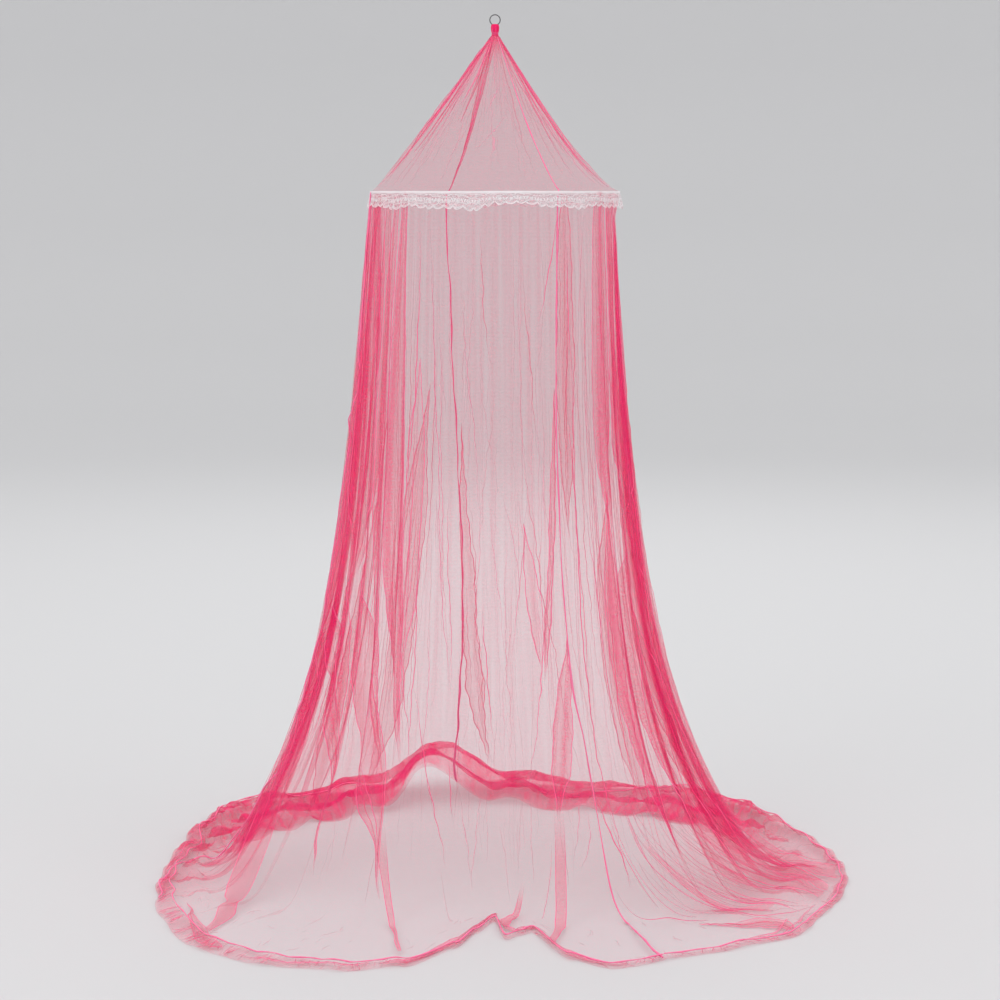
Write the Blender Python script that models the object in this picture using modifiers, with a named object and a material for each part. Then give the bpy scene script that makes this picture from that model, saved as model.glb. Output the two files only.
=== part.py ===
"""Mosquito net canopy: a wire ring, a gathered net roof, a hoop with a lace trim, and a long
net skirt of two panels that sweeps out over the floor.

Heights are measured from the floor. The empty "canopy_rig" then lowers everything so that the
world's origin is the hanging point, inside the top of the wire ring. Azimuths are in degrees,
0 at the front (-Y), 90 at the right (+X), 180 at the back and 270 at the left.
"""

import bisect
import math

import bmesh
import bpy
from mathutils import Vector

# Heights above the floor, in metres
HOOP_HEIGHT = 1.700
RING_HEIGHT = 2.115
NECK_TOP = 2.1055
WAIST_HEIGHT = 2.0825
ROOF_TOP = 2.076

# Ring, hoop and cloth
RING_RADIUS = 0.01245
RING_WIRE = 0.0012
HOOP_RADIUS = 0.2950
HOOP_ROD = 0.0025
CLOTH = 0.0015
WIRE_CLEARANCE = 0.0003
HANG_HEIGHT = RING_HEIGHT + RING_RADIUS - RING_WIRE

# The roof turns down over the hoop, the skirt is sewn outside it and the lace outside that. The
# gaps leave room for the flats between the corners of these many-sided rims.
ROOF_RIM = HOOP_RADIUS + HOOP_ROD + 0.0009
SKIRT_RIM = ROOF_RIM + CLOTH + 0.0008
LACE_RIM = SKIRT_RIM + CLOTH + 0.0006
ROOF_START = 0.006
ROOF_SHOULDER = ROOF_RIM - 0.0006
LAP = 0.003
NECK_RADIUS = 0.0090

# The skirt meets the floor in a soft bend this high, and its edge is turned back over itself
BEND = 0.055
HEM_FOLD_HEIGHT = CLOTH * 3
HEM_BULGE = 0.0024
SEAM_GAP = 0.0006
TURNED_SEAM_GAP = 0.0022

# A fold leans from its azimuth at the hoop to that at the hem, this share of it while hanging
LEAN_SHARE = 0.45
# A fold runs on over the floor as a ridge: its height as a share of the fold's depth at the
# contact, and the share that is lost on the way to the edge
RIDGE_SHARE = 0.55
RIDGE_FADE = 0.70
WAVE_FADE = 0.60
COLUMNS_PER_FOLD = 4

# One row for each fold of the skirt: azimuth at the hoop, azimuth at the hem, depth at the waist
# and depth at the foot. Rows FRONT_SEAM and BACK_SEAM are the sewn seams.
FOLDS = (
    # hoop, hem, waist, foot
    (5, 3, 0.006, 0.014),
    (18, 12, 0.008, 0.018),
    (31, 28, 0.010, 0.022),
    (42, 42, 0.009, 0.020),
    (52, 56, 0.012, 0.024),
    (60, 66, 0.016, 0.028),
    (68, 75, 0.018, 0.030),
    (76, 84, 0.020, 0.030),
    (84, 93, 0.020, 0.030),
    (92, 101, 0.020, 0.030),
    (101, 110, 0.018, 0.028),
    (112, 120, 0.014, 0.026),
    (125, 131, 0.012, 0.024),
    (140, 144, 0.010, 0.024),
    (157, 158, 0.010, 0.024),
    (178, 172, 0.010, 0.024),
    (203, 190, 0.010, 0.024),
    (219, 207, 0.010, 0.024),
    (232, 222, 0.012, 0.026),
    (243, 236, 0.014, 0.028),
    (253, 248, 0.018, 0.030),
    (261, 258, 0.020, 0.030),
    (270, 270, 0.020, 0.030),
    (279, 280, 0.018, 0.030),
    (287, 290, 0.018, 0.030),
    (295, 302, 0.016, 0.028),
    (303, 314, 0.014, 0.028),
    (312, 326, 0.012, 0.026),
    (322, 336, 0.010, 0.022),
    (334, 344, 0.008, 0.020),
    (348, 352, 0.006, 0.014),
)
FRONT_SEAM = 2
BACK_SEAM = 16

# How the skirt meets the floor, by azimuth at the hem: radius where it first lies flat, radius of
# the outer edge, width of the hem turned back, height of the heaped folds, lift of the hem
FOOT = (
    # azimuth, contact, edge, turned, heap, lift
    (0, 0.400, 0.480, 0.030, 0.000, 0.000),
    (6, 0.440, 0.600, 0.030, 0.000, 0.000),
    (12, 0.500, 0.790, 0.035, 0.000, 0.000),
    (19, 0.530, 0.830, 0.030, 0.000, 0.000),
    (30, 0.550, 0.820, 0.022, 0.000, 0.000),
    (42, 0.580, 0.845, 0.025, 0.000, 0.000),
    (52, 0.620, 0.885, 0.025, 0.000, 0.000),
    (64, 0.680, 0.865, 0.025, 0.002, 0.000),
    (76, 0.720, 0.875, 0.025, 0.008, 0.000),
    (90, 0.740, 0.885, 0.028, 0.016, 0.000),
    (105, 0.740, 0.890, 0.030, 0.026, 0.000),
    (120, 0.730, 0.905, 0.040, 0.036, 0.000),
    (135, 0.710, 0.970, 0.040, 0.046, 0.000),
    (150, 0.680, 0.970, 0.050, 0.042, 0.000),
    (165, 0.660, 0.920, 0.050, 0.040, 0.000),
    (178, 0.700, 0.930, 0.050, 0.040, 0.012),
    (190, 0.740, 0.960, 0.045, 0.036, 0.060),
    (202, 0.690, 0.940, 0.050, 0.040, 0.012),
    (215, 0.690, 0.960, 0.050, 0.044, 0.000),
    (230, 0.720, 0.980, 0.050, 0.046, 0.000),
    (242, 0.740, 0.910, 0.045, 0.036, 0.000),
    (255, 0.750, 0.850, 0.045, 0.024, 0.000),
    (270, 0.750, 0.835, 0.030, 0.018, 0.000),
    (283, 0.740, 0.850, 0.035, 0.012, 0.000),
    (297, 0.700, 0.885, 0.050, 0.006, 0.000),
    (312, 0.650, 0.930, 0.070, 0.000, 0.000),
    (323, 0.610, 0.925, 0.065, 0.000, 0.000),
    (336, 0.560, 0.875, 0.050, 0.000, 0.000),
    (346, 0.500, 0.820, 0.045, 0.000, 0.000),
    (354, 0.430, 0.600, 0.030, 0.000, 0.000),
)

# How the skirt flares on its way down, by azimuth: straight share, power of the sweep and how far
# the cloth hangs inside the hoop just below it
FLARE = (
    # azimuth, straight, power, tuck
    (0, 0.34, 5.0, 0.000),
    (60, 0.26, 4.4, 0.004),
    (90, 0.22, 4.0, 0.014),
    (130, 0.26, 4.4, 0.004),
    (180, 0.30, 4.6, 0.000),
    (270, 0.37, 4.4, 0.000),
)

# Levels of the skirt as shares of the drop, then as shares of the way over the floor
DROP_LEVELS = (0.0, 0.012, 0.035, 0.12, 0.27, 0.43, 0.58, 0.71, 0.82, 0.90, 0.955)
FLOOR_LEVELS = (0.0, 0.25, 0.5, 0.75, 1.0)

# Roof: slack between ring and hoop, by azimuth, and the pleats' depth by level
ROOF_SLACK = (
    # azimuth, slack
    (0, 0.008),
    (45, 0.016),
    (75, 0.026),
    (110, 0.026),
    (150, 0.012),
    (220, 0.007),
    (300, 0.006),
)
ROOF_LEVELS = (0.0, 0.12, 0.28, 0.46, 0.64, 0.82, 1.0)
ROOF_PLEATS = 17
ROOF_PLEAT_DEPTH = 0.011

# Lace: its drop below the hoop line, by azimuth, and the size of its repeat
LACE_DROPS = (
    # azimuth, drop
    (0, 0.026),
    (8, 0.022),
    (16, 0.028),
    (24, 0.034),
    (90, 0.035),
    (180, 0.034),
    (300, 0.035),
    (345, 0.036),
    (352, 0.047),
    (356, 0.036),
)
LACE_RISE = 0.004
LACE_THICKNESS = 0.0012
LACE_REPEATS = 79
LACE_RUFFLE = 0.0035
LACE_FLARE = 0.10
SCALLOP = 0.18

# Gathered neck: height and half widths of each level, from inside the roof to over the wire
NECK = (
    # height, half width, half depth
    (2.0620, 0.0097, 0.0097),
    (2.0770, 0.0097, 0.0094),
    (WAIST_HEIGHT, 0.0080, 0.0074),
    (2.0900, 0.0096, 0.0078),
    (2.0970, 0.0104, 0.0066),
    (2.1025, 0.0098, 0.0050),
    (NECK_TOP, 0.0070, 0.0032),
)

COLOURS = {
    "net": (0.80, 0.06, 0.22),
    "lace": (0.90, 0.84, 0.86),
    "steel": (0.55, 0.55, 0.57),
    "hoop": (0.82, 0.78, 0.80),
}


# ---------------------------------------------------------------- tables and curves


def around(table, azimuth):
    """The table's values at an azimuth, eased from row to row all the way round."""
    azimuth %= 360.0
    starts = [row[0] for row in table]
    i = bisect.bisect_right(starts, azimuth) - 1
    low, high = table[i], table[(i + 1) % len(table)]
    span = (high[0] - low[0]) % 360.0 or 360.0
    share = ((azimuth - low[0]) % 360.0) / span
    ease = share * share * (3.0 - 2.0 * share)
    return [a + (b - a) * ease for a, b in zip(low[1:], high[1:])]


def fold_at(place):
    """The fold table's values at a place counted in folds: 2.5 is midway between rows 2 and 3."""
    i = math.floor(place)
    share = place - i
    count = len(FOLDS)
    low, high = FOLDS[i % count], FOLDS[(i + 1) % count]
    turns = 360.0 * (i // count)
    next_turns = 360.0 * ((i + 1) // count)
    hoop = (low[0] + turns) * (1 - share) + (high[0] + next_turns) * share
    hem = (low[1] + turns) * (1 - share) + (high[1] + next_turns) * share
    waist, foot = (a * (1 - share) + b * share for a, b in zip(low[2:], high[2:]))
    return hoop, hem, waist, foot


def smooth(low, high, value):
    """0 below low, 1 above high, eased between."""
    share = min(max((value - low) / (high - low), 0.0), 1.0)
    return share * share * (3.0 - 2.0 * share)


def polar(radius, azimuth, height):
    turn = math.radians(azimuth)
    return Vector((radius * math.sin(turn), -radius * math.cos(turn), height))


# ---------------------------------------------------------------- skirt


def drop_height(level):
    """Height of the skirt's nominal surface at a share of its drop, with the bend at the floor."""
    height = HOOP_HEIGHT + LAP - (HOOP_HEIGHT + LAP + BEND) * level
    if height >= BEND:
        return height
    return (height + BEND) ** 2 / (4.0 * BEND)


def drop_radius(level, contact, straight, power):
    reach = straight * level + (1.0 - straight) * level**power
    return SKIRT_RIM + (contact - SKIRT_RIM) * reach


def skirt_drop_point(place, level):
    """A point of the hanging part: level is 0 at the hoop and 1 where the cloth lies flat."""
    hoop, hem, waist, foot = fold_at(place)
    azimuth = hoop + (hem - hoop) * LEAN_SHARE * level**3
    contact, _, _, _, lift = around(FOOT, hem)
    straight, power, tuck = around(FLARE, azimuth)
    radius = drop_radius(level, contact, straight, power)
    radius -= tuck * smooth(0.0, 0.04, level) * (1.0 - smooth(0.12, 0.50, level))
    depth = waist * smooth(0.02, 0.40, level)
    depth += (foot - waist) * smooth(0.40, 0.90, level)
    wave = math.cos(2.0 * math.pi * place)
    radius -= depth * (0.5 - 0.5 * wave)
    height = drop_height(level) + lift * smooth(0.80, 1.0, level)
    height += ridge_height(place, 0.0) * smooth(0.93, 1.0, level)
    return polar(radius, azimuth, height)


def ridge_height(place, share):
    """A fold of the hanging part runs on over the floor as a low ridge, flat on both sides."""
    foot = fold_at(place)[3]
    crest = max(math.cos(2.0 * math.pi * place), 0.0)
    return RIDGE_SHARE * foot * crest * (1.0 - RIDGE_FADE * share)


def heap_height(place, share, heap):
    """Heaped folds run round the foot: two crests between the contact and the edge."""
    uneven = 0.75 + 0.25 * math.sin(2.4 * place) * math.cos(1.1 * place)
    return heap * uneven * (0.5 - 0.5 * math.cos(4.0 * math.pi * share))


def skirt_floor_point(place, share):
    """A point of the part on the floor: share is 0 at the contact and 1 at the outer edge."""
    hoop, hem, _, foot = fold_at(place)
    azimuth = hoop + (hem - hoop) * (LEAN_SHARE + (1.0 - LEAN_SHARE) * share)
    contact, edge, _, heap, lift = around(FOOT, hem)
    wave = 0.5 - 0.5 * math.cos(2.0 * math.pi * place)
    radius = contact + (edge - contact) * share - foot * wave * (1.0 - WAVE_FADE * share)
    height = ridge_height(place, share) + heap_height(place, share, heap) + lift
    return polar(radius, azimuth, height)


def skirt_hem_point(place, step):
    """The edge turned back over the cloth: step 0 is the turn, 1 its top, 2 the hem."""
    hem = fold_at(place)[1]
    contact, edge, turned = around(FOOT, hem)[:3]
    outward = polar(1.0, hem, 0.0)
    up = Vector((0.0, 0.0, HEM_FOLD_HEIGHT))
    if step == 0:
        return skirt_floor_point(place, 1.0) + outward * HEM_BULGE + up / 2
    if step == 1:
        return skirt_floor_point(place, 1.0) + up
    return skirt_floor_point(place, 1.0 - turned / (edge - contact)) + up


def skirt_point(place, row):
    if row < len(DROP_LEVELS):
        return skirt_drop_point(place, DROP_LEVELS[row])
    row -= len(DROP_LEVELS)
    if row < len(FLOOR_LEVELS):
        return skirt_floor_point(place, FLOOR_LEVELS[row])
    return skirt_hem_point(place, row - len(FLOOR_LEVELS))


def make_skirt_panel(name, first_fold, last_fold):
    """A panel from one seam to the next, its two side edges set back a little from the seams."""
    columns = (last_fold - first_fold) * COLUMNS_PER_FOLD
    rows = len(DROP_LEVELS) + len(FLOOR_LEVELS) + 3

    def place_point(column, row):
        place = first_fold + column / COLUMNS_PER_FOLD
        point = skirt_point(place, row)
        if column in (0, columns):
            inward = 1 if column == 0 else -1
            along = skirt_point(place + inward * 0.05, row) - point
            turned_back = row > rows - 4
            point += along.normalized() * (TURNED_SEAM_GAP if turned_back else SEAM_GAP) / 2
        return point

    return make_sheet(name, columns + 1, rows, place_point, CLOTH, "net")


# ---------------------------------------------------------------- roof


def pleat_azimuth(place):
    """Azimuth of a place counted in roof pleats, which are a little uneven."""
    return 360.0 * (place / ROOF_PLEATS + 0.006 * math.sin(1.7 * place))


def roof_point(place, level):
    """A point of the roof: place counts pleats, level is 0 at the hoop and 1 at the neck."""
    azimuth = pleat_azimuth(place)
    slack = around(ROOF_SLACK, azimuth)[0]
    start = HOOP_HEIGHT + ROOF_START
    height = start + (ROOF_TOP - start) * level
    radius = ROOF_SHOULDER + (NECK_RADIUS - ROOF_SHOULDER) * level
    radius -= slack * math.sin(math.pi * level**0.55)
    wave = 0.5 - 0.5 * math.cos(2.0 * math.pi * place)
    radius -= ROOF_PLEAT_DEPTH * wave * math.sin(math.pi * level) ** 0.8 * (1.0 - 0.55 * level)
    return polar(radius, azimuth, height)


def make_roof():
    """The cone of net, turned down over the hoop, with its neck gathered over the ring's wire."""
    columns = ROOF_PLEATS * COLUMNS_PER_FOLD
    laps = 2

    def place_point(column, row):
        place = (column % columns) / COLUMNS_PER_FOLD
        if row < laps:
            height = HOOP_HEIGHT + (-LAP if row == 0 else LAP)
            return polar(ROOF_RIM, pleat_azimuth(place), height)
        return roof_point(place, ROOF_LEVELS[row - laps])

    rows = laps + len(ROOF_LEVELS)
    roof = make_sheet("roof_net", columns + 1, rows, place_point, CLOTH, "net", flip=True)
    neck = make_neck()
    wire_path = make_torus("wire_path", RING_RADIUS, RING_WIRE + WIRE_CLEARANCE, 32, 8)
    wire_path.location = (0.0, 0.0, RING_HEIGHT)
    wire_path.rotation_euler = (math.radians(90), 0.0, 0.0)
    cut_with(roof, neck, "UNION", "gathered neck")
    cut_with(roof, wire_path, "DIFFERENCE", "wire path")
    return roof


def make_neck():
    """The bundle of gathered cloth: a loft through the NECK levels, closed at both ends."""
    sides = 12
    mesh = bmesh.new()
    rings = []
    for height, half_width, half_depth in NECK:
        ring = []
        for i in range(sides):
            turn = 2.0 * math.pi * i / sides
            ring.append(
                mesh.verts.new((half_width * math.cos(turn), half_depth * math.sin(turn), height))
            )
        rings.append(ring)
    for lower, upper in zip(rings, rings[1:]):
        for i in range(sides):
            j = (i + 1) % sides
            mesh.faces.new((lower[i], lower[j], upper[j], upper[i]))
    mesh.faces.new(reversed(rings[0]))
    mesh.faces.new(rings[-1])
    return object_from(mesh, "neck_bundle", None, CUTTERS)


# ---------------------------------------------------------------- lace


def lace_point(turn, down):
    """A point of the lace: turn counts repeats, down is 0 at the heading and 1 at the scallops."""
    azimuth = 360.0 * turn / LACE_REPEATS
    drop = around(LACE_DROPS, azimuth)[0]
    height = HOOP_HEIGHT + LACE_RISE - (LACE_RISE + drop) * down
    flare = LACE_FLARE * max(HOOP_HEIGHT - height, 0.0)
    ruffle = 0.5 + 0.5 * math.sin(math.pi * turn + 0.8 * math.sin(0.37 * turn))
    return polar(LACE_RIM + flare + LACE_RUFFLE * ruffle * down**1.5, azimuth, height)


def make_lace():
    """Openwork band: one diamond gap in each scallop, between a plain heading and the edge."""
    mesh = bmesh.new()
    corners = {
        # name: (share of the repeat, share of the height)
        "top": (0.0, 0.0),
        "cusp": (0.0, 1.0 - SCALLOP),
        "low": (0.5, 1.0),
        "above": (0.5, 0.26),
        "left": (0.22, 0.52),
        "right": (0.78, 0.52),
        "below": (0.5, 0.80),
    }
    shared = [
        {name: mesh.verts.new(lace_point(i, corners[name][1])) for name in ("top", "cusp")}
        for i in range(LACE_REPEATS)
    ]
    for i in range(LACE_REPEATS):
        here, there = shared[i], shared[(i + 1) % LACE_REPEATS]
        own = {
            name: mesh.verts.new(lace_point(i + corners[name][0], corners[name][1]))
            for name in ("low", "above", "left", "right", "below")
        }
        for face in (
            (here["top"], own["above"], there["top"]),
            (here["top"], own["left"], own["above"]),
            (there["top"], own["above"], own["right"]),
            (here["top"], here["cusp"], own["left"]),
            (there["top"], own["right"], there["cusp"]),
            (here["cusp"], own["low"], own["left"]),
            (own["left"], own["low"], own["below"]),
            (own["below"], own["low"], own["right"]),
            (own["right"], own["low"], there["cusp"]),
        ):
            mesh.faces.new(face)
    lace = object_from(mesh, "lace_trim", "lace", PARTS)
    add_thickness(lace, LACE_THICKNESS)
    return lace


# ---------------------------------------------------------------- shared tools


def new_collection(name, hidden=False):
    collection = bpy.data.collections.new(name)
    collection.hide_render = hidden
    bpy.context.scene.collection.children.link(collection)
    return collection


def new_material(name, colour, roughness, metallic):
    material = bpy.data.materials.new(name)
    material.use_nodes = True
    shader = material.node_tree.nodes["Principled BSDF"]
    shader.inputs["Base Color"].default_value = (*colour, 1.0)
    shader.inputs["Roughness"].default_value = roughness
    shader.inputs["Metallic"].default_value = metallic
    return material


def object_from(mesh, name, material, collection):
    data = bpy.data.meshes.new(name)
    mesh.to_mesh(data)
    mesh.free()
    made = bpy.data.objects.new(name, data)
    collection.objects.link(made)
    made.parent = RIG
    if material:
        data.materials.append(MATERIALS[material])
    if collection is CUTTERS:
        made.hide_render = True
        made.display_type = "WIRE"
    data.shade_smooth()
    data.set_sharp_from_angle(angle=math.radians(40))
    return made


def add_thickness(made, thickness):
    solidify = made.modifiers.new("cloth thickness", "SOLIDIFY")
    solidify.thickness = thickness
    solidify.offset = 1.0
    solidify.use_even_offset = False


def make_sheet(name, columns, rows, place_point, thickness, material, flip=False):
    """A sheet of cloth: a flat grid whose points are moved to their places, then thickened."""
    mesh = bmesh.new()
    bmesh.ops.create_grid(mesh, x_segments=columns - 1, y_segments=rows - 1, size=0.5)
    for vert in mesh.verts:
        column = round((vert.co.x + 0.5) * (columns - 1))
        row = round((0.5 - vert.co.y) * (rows - 1))
        vert.co = place_point(column, row)
    bmesh.ops.remove_doubles(mesh, verts=mesh.verts, dist=0.00001)
    if flip:
        bmesh.ops.reverse_faces(mesh, faces=mesh.faces)
    sheet = object_from(mesh, name, material, PARTS)
    add_thickness(sheet, thickness)
    return sheet


def make_torus(name, radius, wire, segments, sides):
    bpy.ops.mesh.primitive_torus_add(
        major_radius=radius,
        minor_radius=wire,
        major_segments=segments,
        minor_segments=sides,
    )
    made = bpy.context.object
    made.name = made.data.name = name
    for collection in list(made.users_collection):
        collection.objects.unlink(made)
    hidden = name == "wire_path"
    (CUTTERS if hidden else PARTS).objects.link(made)
    if hidden:
        made.hide_render = True
        made.display_type = "WIRE"
    made.parent = RIG
    made.data.shade_smooth()
    return made


def cut_with(made, cutter, operation, name):
    boolean = made.modifiers.new(name, "BOOLEAN")
    boolean.operation = operation
    boolean.solver = "MANIFOLD"
    boolean.object = cutter


# ---------------------------------------------------------------- the canopy

for old in list(bpy.data.objects):
    bpy.data.objects.remove(old, do_unlink=True)

PARTS = new_collection("mosquito_net_canopy")
CUTTERS = new_collection("cutters", hidden=True)
MATERIALS = {
    "net": new_material("pink net", COLOURS["net"], 0.75, 0.0),
    "lace": new_material("white lace", COLOURS["lace"], 0.80, 0.0),
    "steel": new_material("ring steel", COLOURS["steel"], 0.30, 1.0),
    "hoop": new_material("hoop plastic", COLOURS["hoop"], 0.50, 0.0),
}

RIG = bpy.data.objects.new("canopy_rig", None)
RIG.location = (0.0, 0.0, -HANG_HEIGHT)
PARTS.objects.link(RIG)

top_ring = make_torus("top_ring", RING_RADIUS, RING_WIRE, 32, 8)
top_ring.location = (0.0, 0.0, RING_HEIGHT)
top_ring.rotation_euler = (math.radians(90), 0.0, 0.0)
top_ring.data.materials.append(MATERIALS["steel"])

hoop = make_torus("hoop", HOOP_RADIUS, HOOP_ROD, 60, 6)
hoop.location = (0.0, 0.0, HOOP_HEIGHT)
hoop.data.materials.append(MATERIALS["hoop"])

make_roof()
make_lace()
make_skirt_panel("skirt_panel_right", FRONT_SEAM, BACK_SEAM)
make_skirt_panel("skirt_panel_left", BACK_SEAM, FRONT_SEAM + len(FOLDS))
bpy.context.view_layer.update()
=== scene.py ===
"""The looks of a hanging mosquito net canopy: a gathered net roof on a wire ring, a hoop with a
lace trim and a long sheer skirt that sweeps out over the floor.

Heights in the tables are above the floor. Azimuths are in degrees, 0 at the front (-Y), 90 at
the right (+X), 180 at the back and 270 at the left. The skirt is laid out by place, counted in
its main folds, and by way: 0 to 1 down the hanging part, to 2 over the floor, to 3 round the
turned-back hem.
"""

import math

import bpy
import numpy as np
from bpy.props import FloatProperty, FloatVectorProperty, IntProperty, PointerProperty
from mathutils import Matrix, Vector


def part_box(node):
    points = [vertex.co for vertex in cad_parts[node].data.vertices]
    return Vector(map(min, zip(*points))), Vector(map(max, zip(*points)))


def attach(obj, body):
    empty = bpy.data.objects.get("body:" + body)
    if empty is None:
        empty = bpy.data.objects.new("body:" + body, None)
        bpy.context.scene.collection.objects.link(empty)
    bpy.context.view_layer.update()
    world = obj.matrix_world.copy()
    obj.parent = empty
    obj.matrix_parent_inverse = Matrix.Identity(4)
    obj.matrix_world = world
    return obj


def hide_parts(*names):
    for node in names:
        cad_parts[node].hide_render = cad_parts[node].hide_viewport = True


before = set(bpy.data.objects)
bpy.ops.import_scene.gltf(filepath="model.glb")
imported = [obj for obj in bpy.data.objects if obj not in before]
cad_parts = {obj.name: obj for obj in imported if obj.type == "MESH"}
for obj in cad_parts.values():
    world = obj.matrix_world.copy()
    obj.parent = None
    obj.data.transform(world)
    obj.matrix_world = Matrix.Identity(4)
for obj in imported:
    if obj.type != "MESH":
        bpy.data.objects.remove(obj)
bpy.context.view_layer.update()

bl_info = {
    "name": "Mosquito net canopy",
    "version": (1, 0, 0),
    "blender": (4, 5, 0),
    "location": "3D View > Sidebar > Canopy",
    "description": "Dresses the solids of a hanging net canopy with sheer cloth, lace and wire",
    "category": "Object",
}

# ---------------------------------------------------------------- sizes read from the frame

RING_LOW, RING_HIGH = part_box("top_ring")
HOOP_LOW, HOOP_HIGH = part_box("hoop")
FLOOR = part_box("skirt_panel_left")[0].z
RING_WIRE = (RING_HIGH.y - RING_LOW.y) / 2
RING_RADIUS = (RING_HIGH.z - RING_LOW.z) / 2 - RING_WIRE
RING_HEIGHT = (RING_HIGH.z + RING_LOW.z) / 2 - FLOOR
HOOP_HEIGHT = (HOOP_HIGH.z + HOOP_LOW.z) / 2 - FLOOR
HOOP_ROD = (HOOP_HIGH.z - HOOP_LOW.z) / 2
HOOP_RADIUS = (HOOP_HIGH.x - HOOP_LOW.x) / 2 - HOOP_ROD

# ---------------------------------------------------------------- sizes of the cloth

# The solids' sheets are this thick, and the roof, the skirt and the lace lie in turn round the hoop
CLOTH = 0.0015
HOOP_GAP = 0.0013
LAYER_GAP = 0.0012
ROOF_RIM = HOOP_RADIUS + HOOP_ROD + HOOP_GAP
SKIRT_RIM = ROOF_RIM + CLOTH + LAYER_GAP
LACE_RIM = SKIRT_RIM + CLOTH + LAYER_GAP

# Height where the roof enters the neck, its rise above the hoop where it starts, how far it draws
# in there, how far it laps below the hoop, and the neck's radius
ROOF_TOP = 2.076
ROOF_START = 0.006
ROOF_DRAW = 0.0006
LAP = 0.003
NECK_RADIUS = 0.0086

# The skirt meets the floor in a soft bend this high, and its edge is turned back over itself
BEND = 0.055
HEM_FOLD_HEIGHT = CLOTH * 3
HEM_BULGE = 0.0024
FLOOR_CLEAR = 0.0008

# A fold leans from its azimuth at the hoop to that at the hem, this share of it while hanging. It
# runs on over the floor as a ridge, this share of its depth, and fades towards the edge.
LEAN_SHARE = 0.45
RIDGE_SHARE = 0.55
RIDGE_FADE = 0.70
WAVE_FADE = 0.86

# One row for each main fold of the skirt
FOLDS = (
    # azimuth at the hoop, azimuth at the hem, depth at the waist, depth at the foot
    (5, 3, 0.006, 0.014),
    (18, 12, 0.008, 0.018),
    (31, 28, 0.010, 0.022),
    (42, 42, 0.009, 0.020),
    (52, 56, 0.012, 0.024),
    (60, 66, 0.016, 0.028),
    (68, 75, 0.018, 0.030),
    (76, 84, 0.020, 0.030),
    (84, 93, 0.020, 0.030),
    (92, 101, 0.020, 0.030),
    (101, 110, 0.018, 0.028),
    (112, 120, 0.014, 0.026),
    (125, 131, 0.012, 0.024),
    (140, 144, 0.010, 0.024),
    (157, 158, 0.010, 0.024),
    (178, 172, 0.010, 0.024),
    (203, 190, 0.010, 0.024),
    (219, 207, 0.010, 0.024),
    (232, 222, 0.012, 0.026),
    (243, 236, 0.014, 0.028),
    (253, 248, 0.018, 0.030),
    (261, 258, 0.020, 0.030),
    (270, 270, 0.020, 0.030),
    (279, 280, 0.018, 0.030),
    (287, 290, 0.018, 0.030),
    (295, 302, 0.016, 0.028),
    (303, 314, 0.014, 0.028),
    (312, 326, 0.012, 0.026),
    (322, 336, 0.010, 0.022),
    (334, 344, 0.008, 0.020),
    (348, 352, 0.006, 0.014),
)
FULL_TURN = len(FOLDS)

# The two seams, where the panels of the skirt meet
FRONT_SEAM = (
    # way, place
    (0.00, 1.85),
    (0.08, 1.76),
    (0.25, 1.67),
    (0.44, 1.74),
    (0.61, 1.86),
    (0.68, 1.94),
    (0.75, 2.20),
    (0.82, 2.38),
    (0.88, 2.38),
    (0.93, 2.34),
    (0.98, 2.44),
    (1.10, 2.36),
    (1.40, 2.10),
    (1.70, 1.98),
    (3.00, 1.98),
)
BACK_SEAM = (
    # way, place
    (0.00, 16.10),
    (0.13, 15.92),
    (0.40, 15.74),
    (0.58, 15.64),
    (0.77, 15.63),
    (0.88, 15.66),
    (1.00, 15.62),
    (3.00, 15.62),
)

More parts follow.
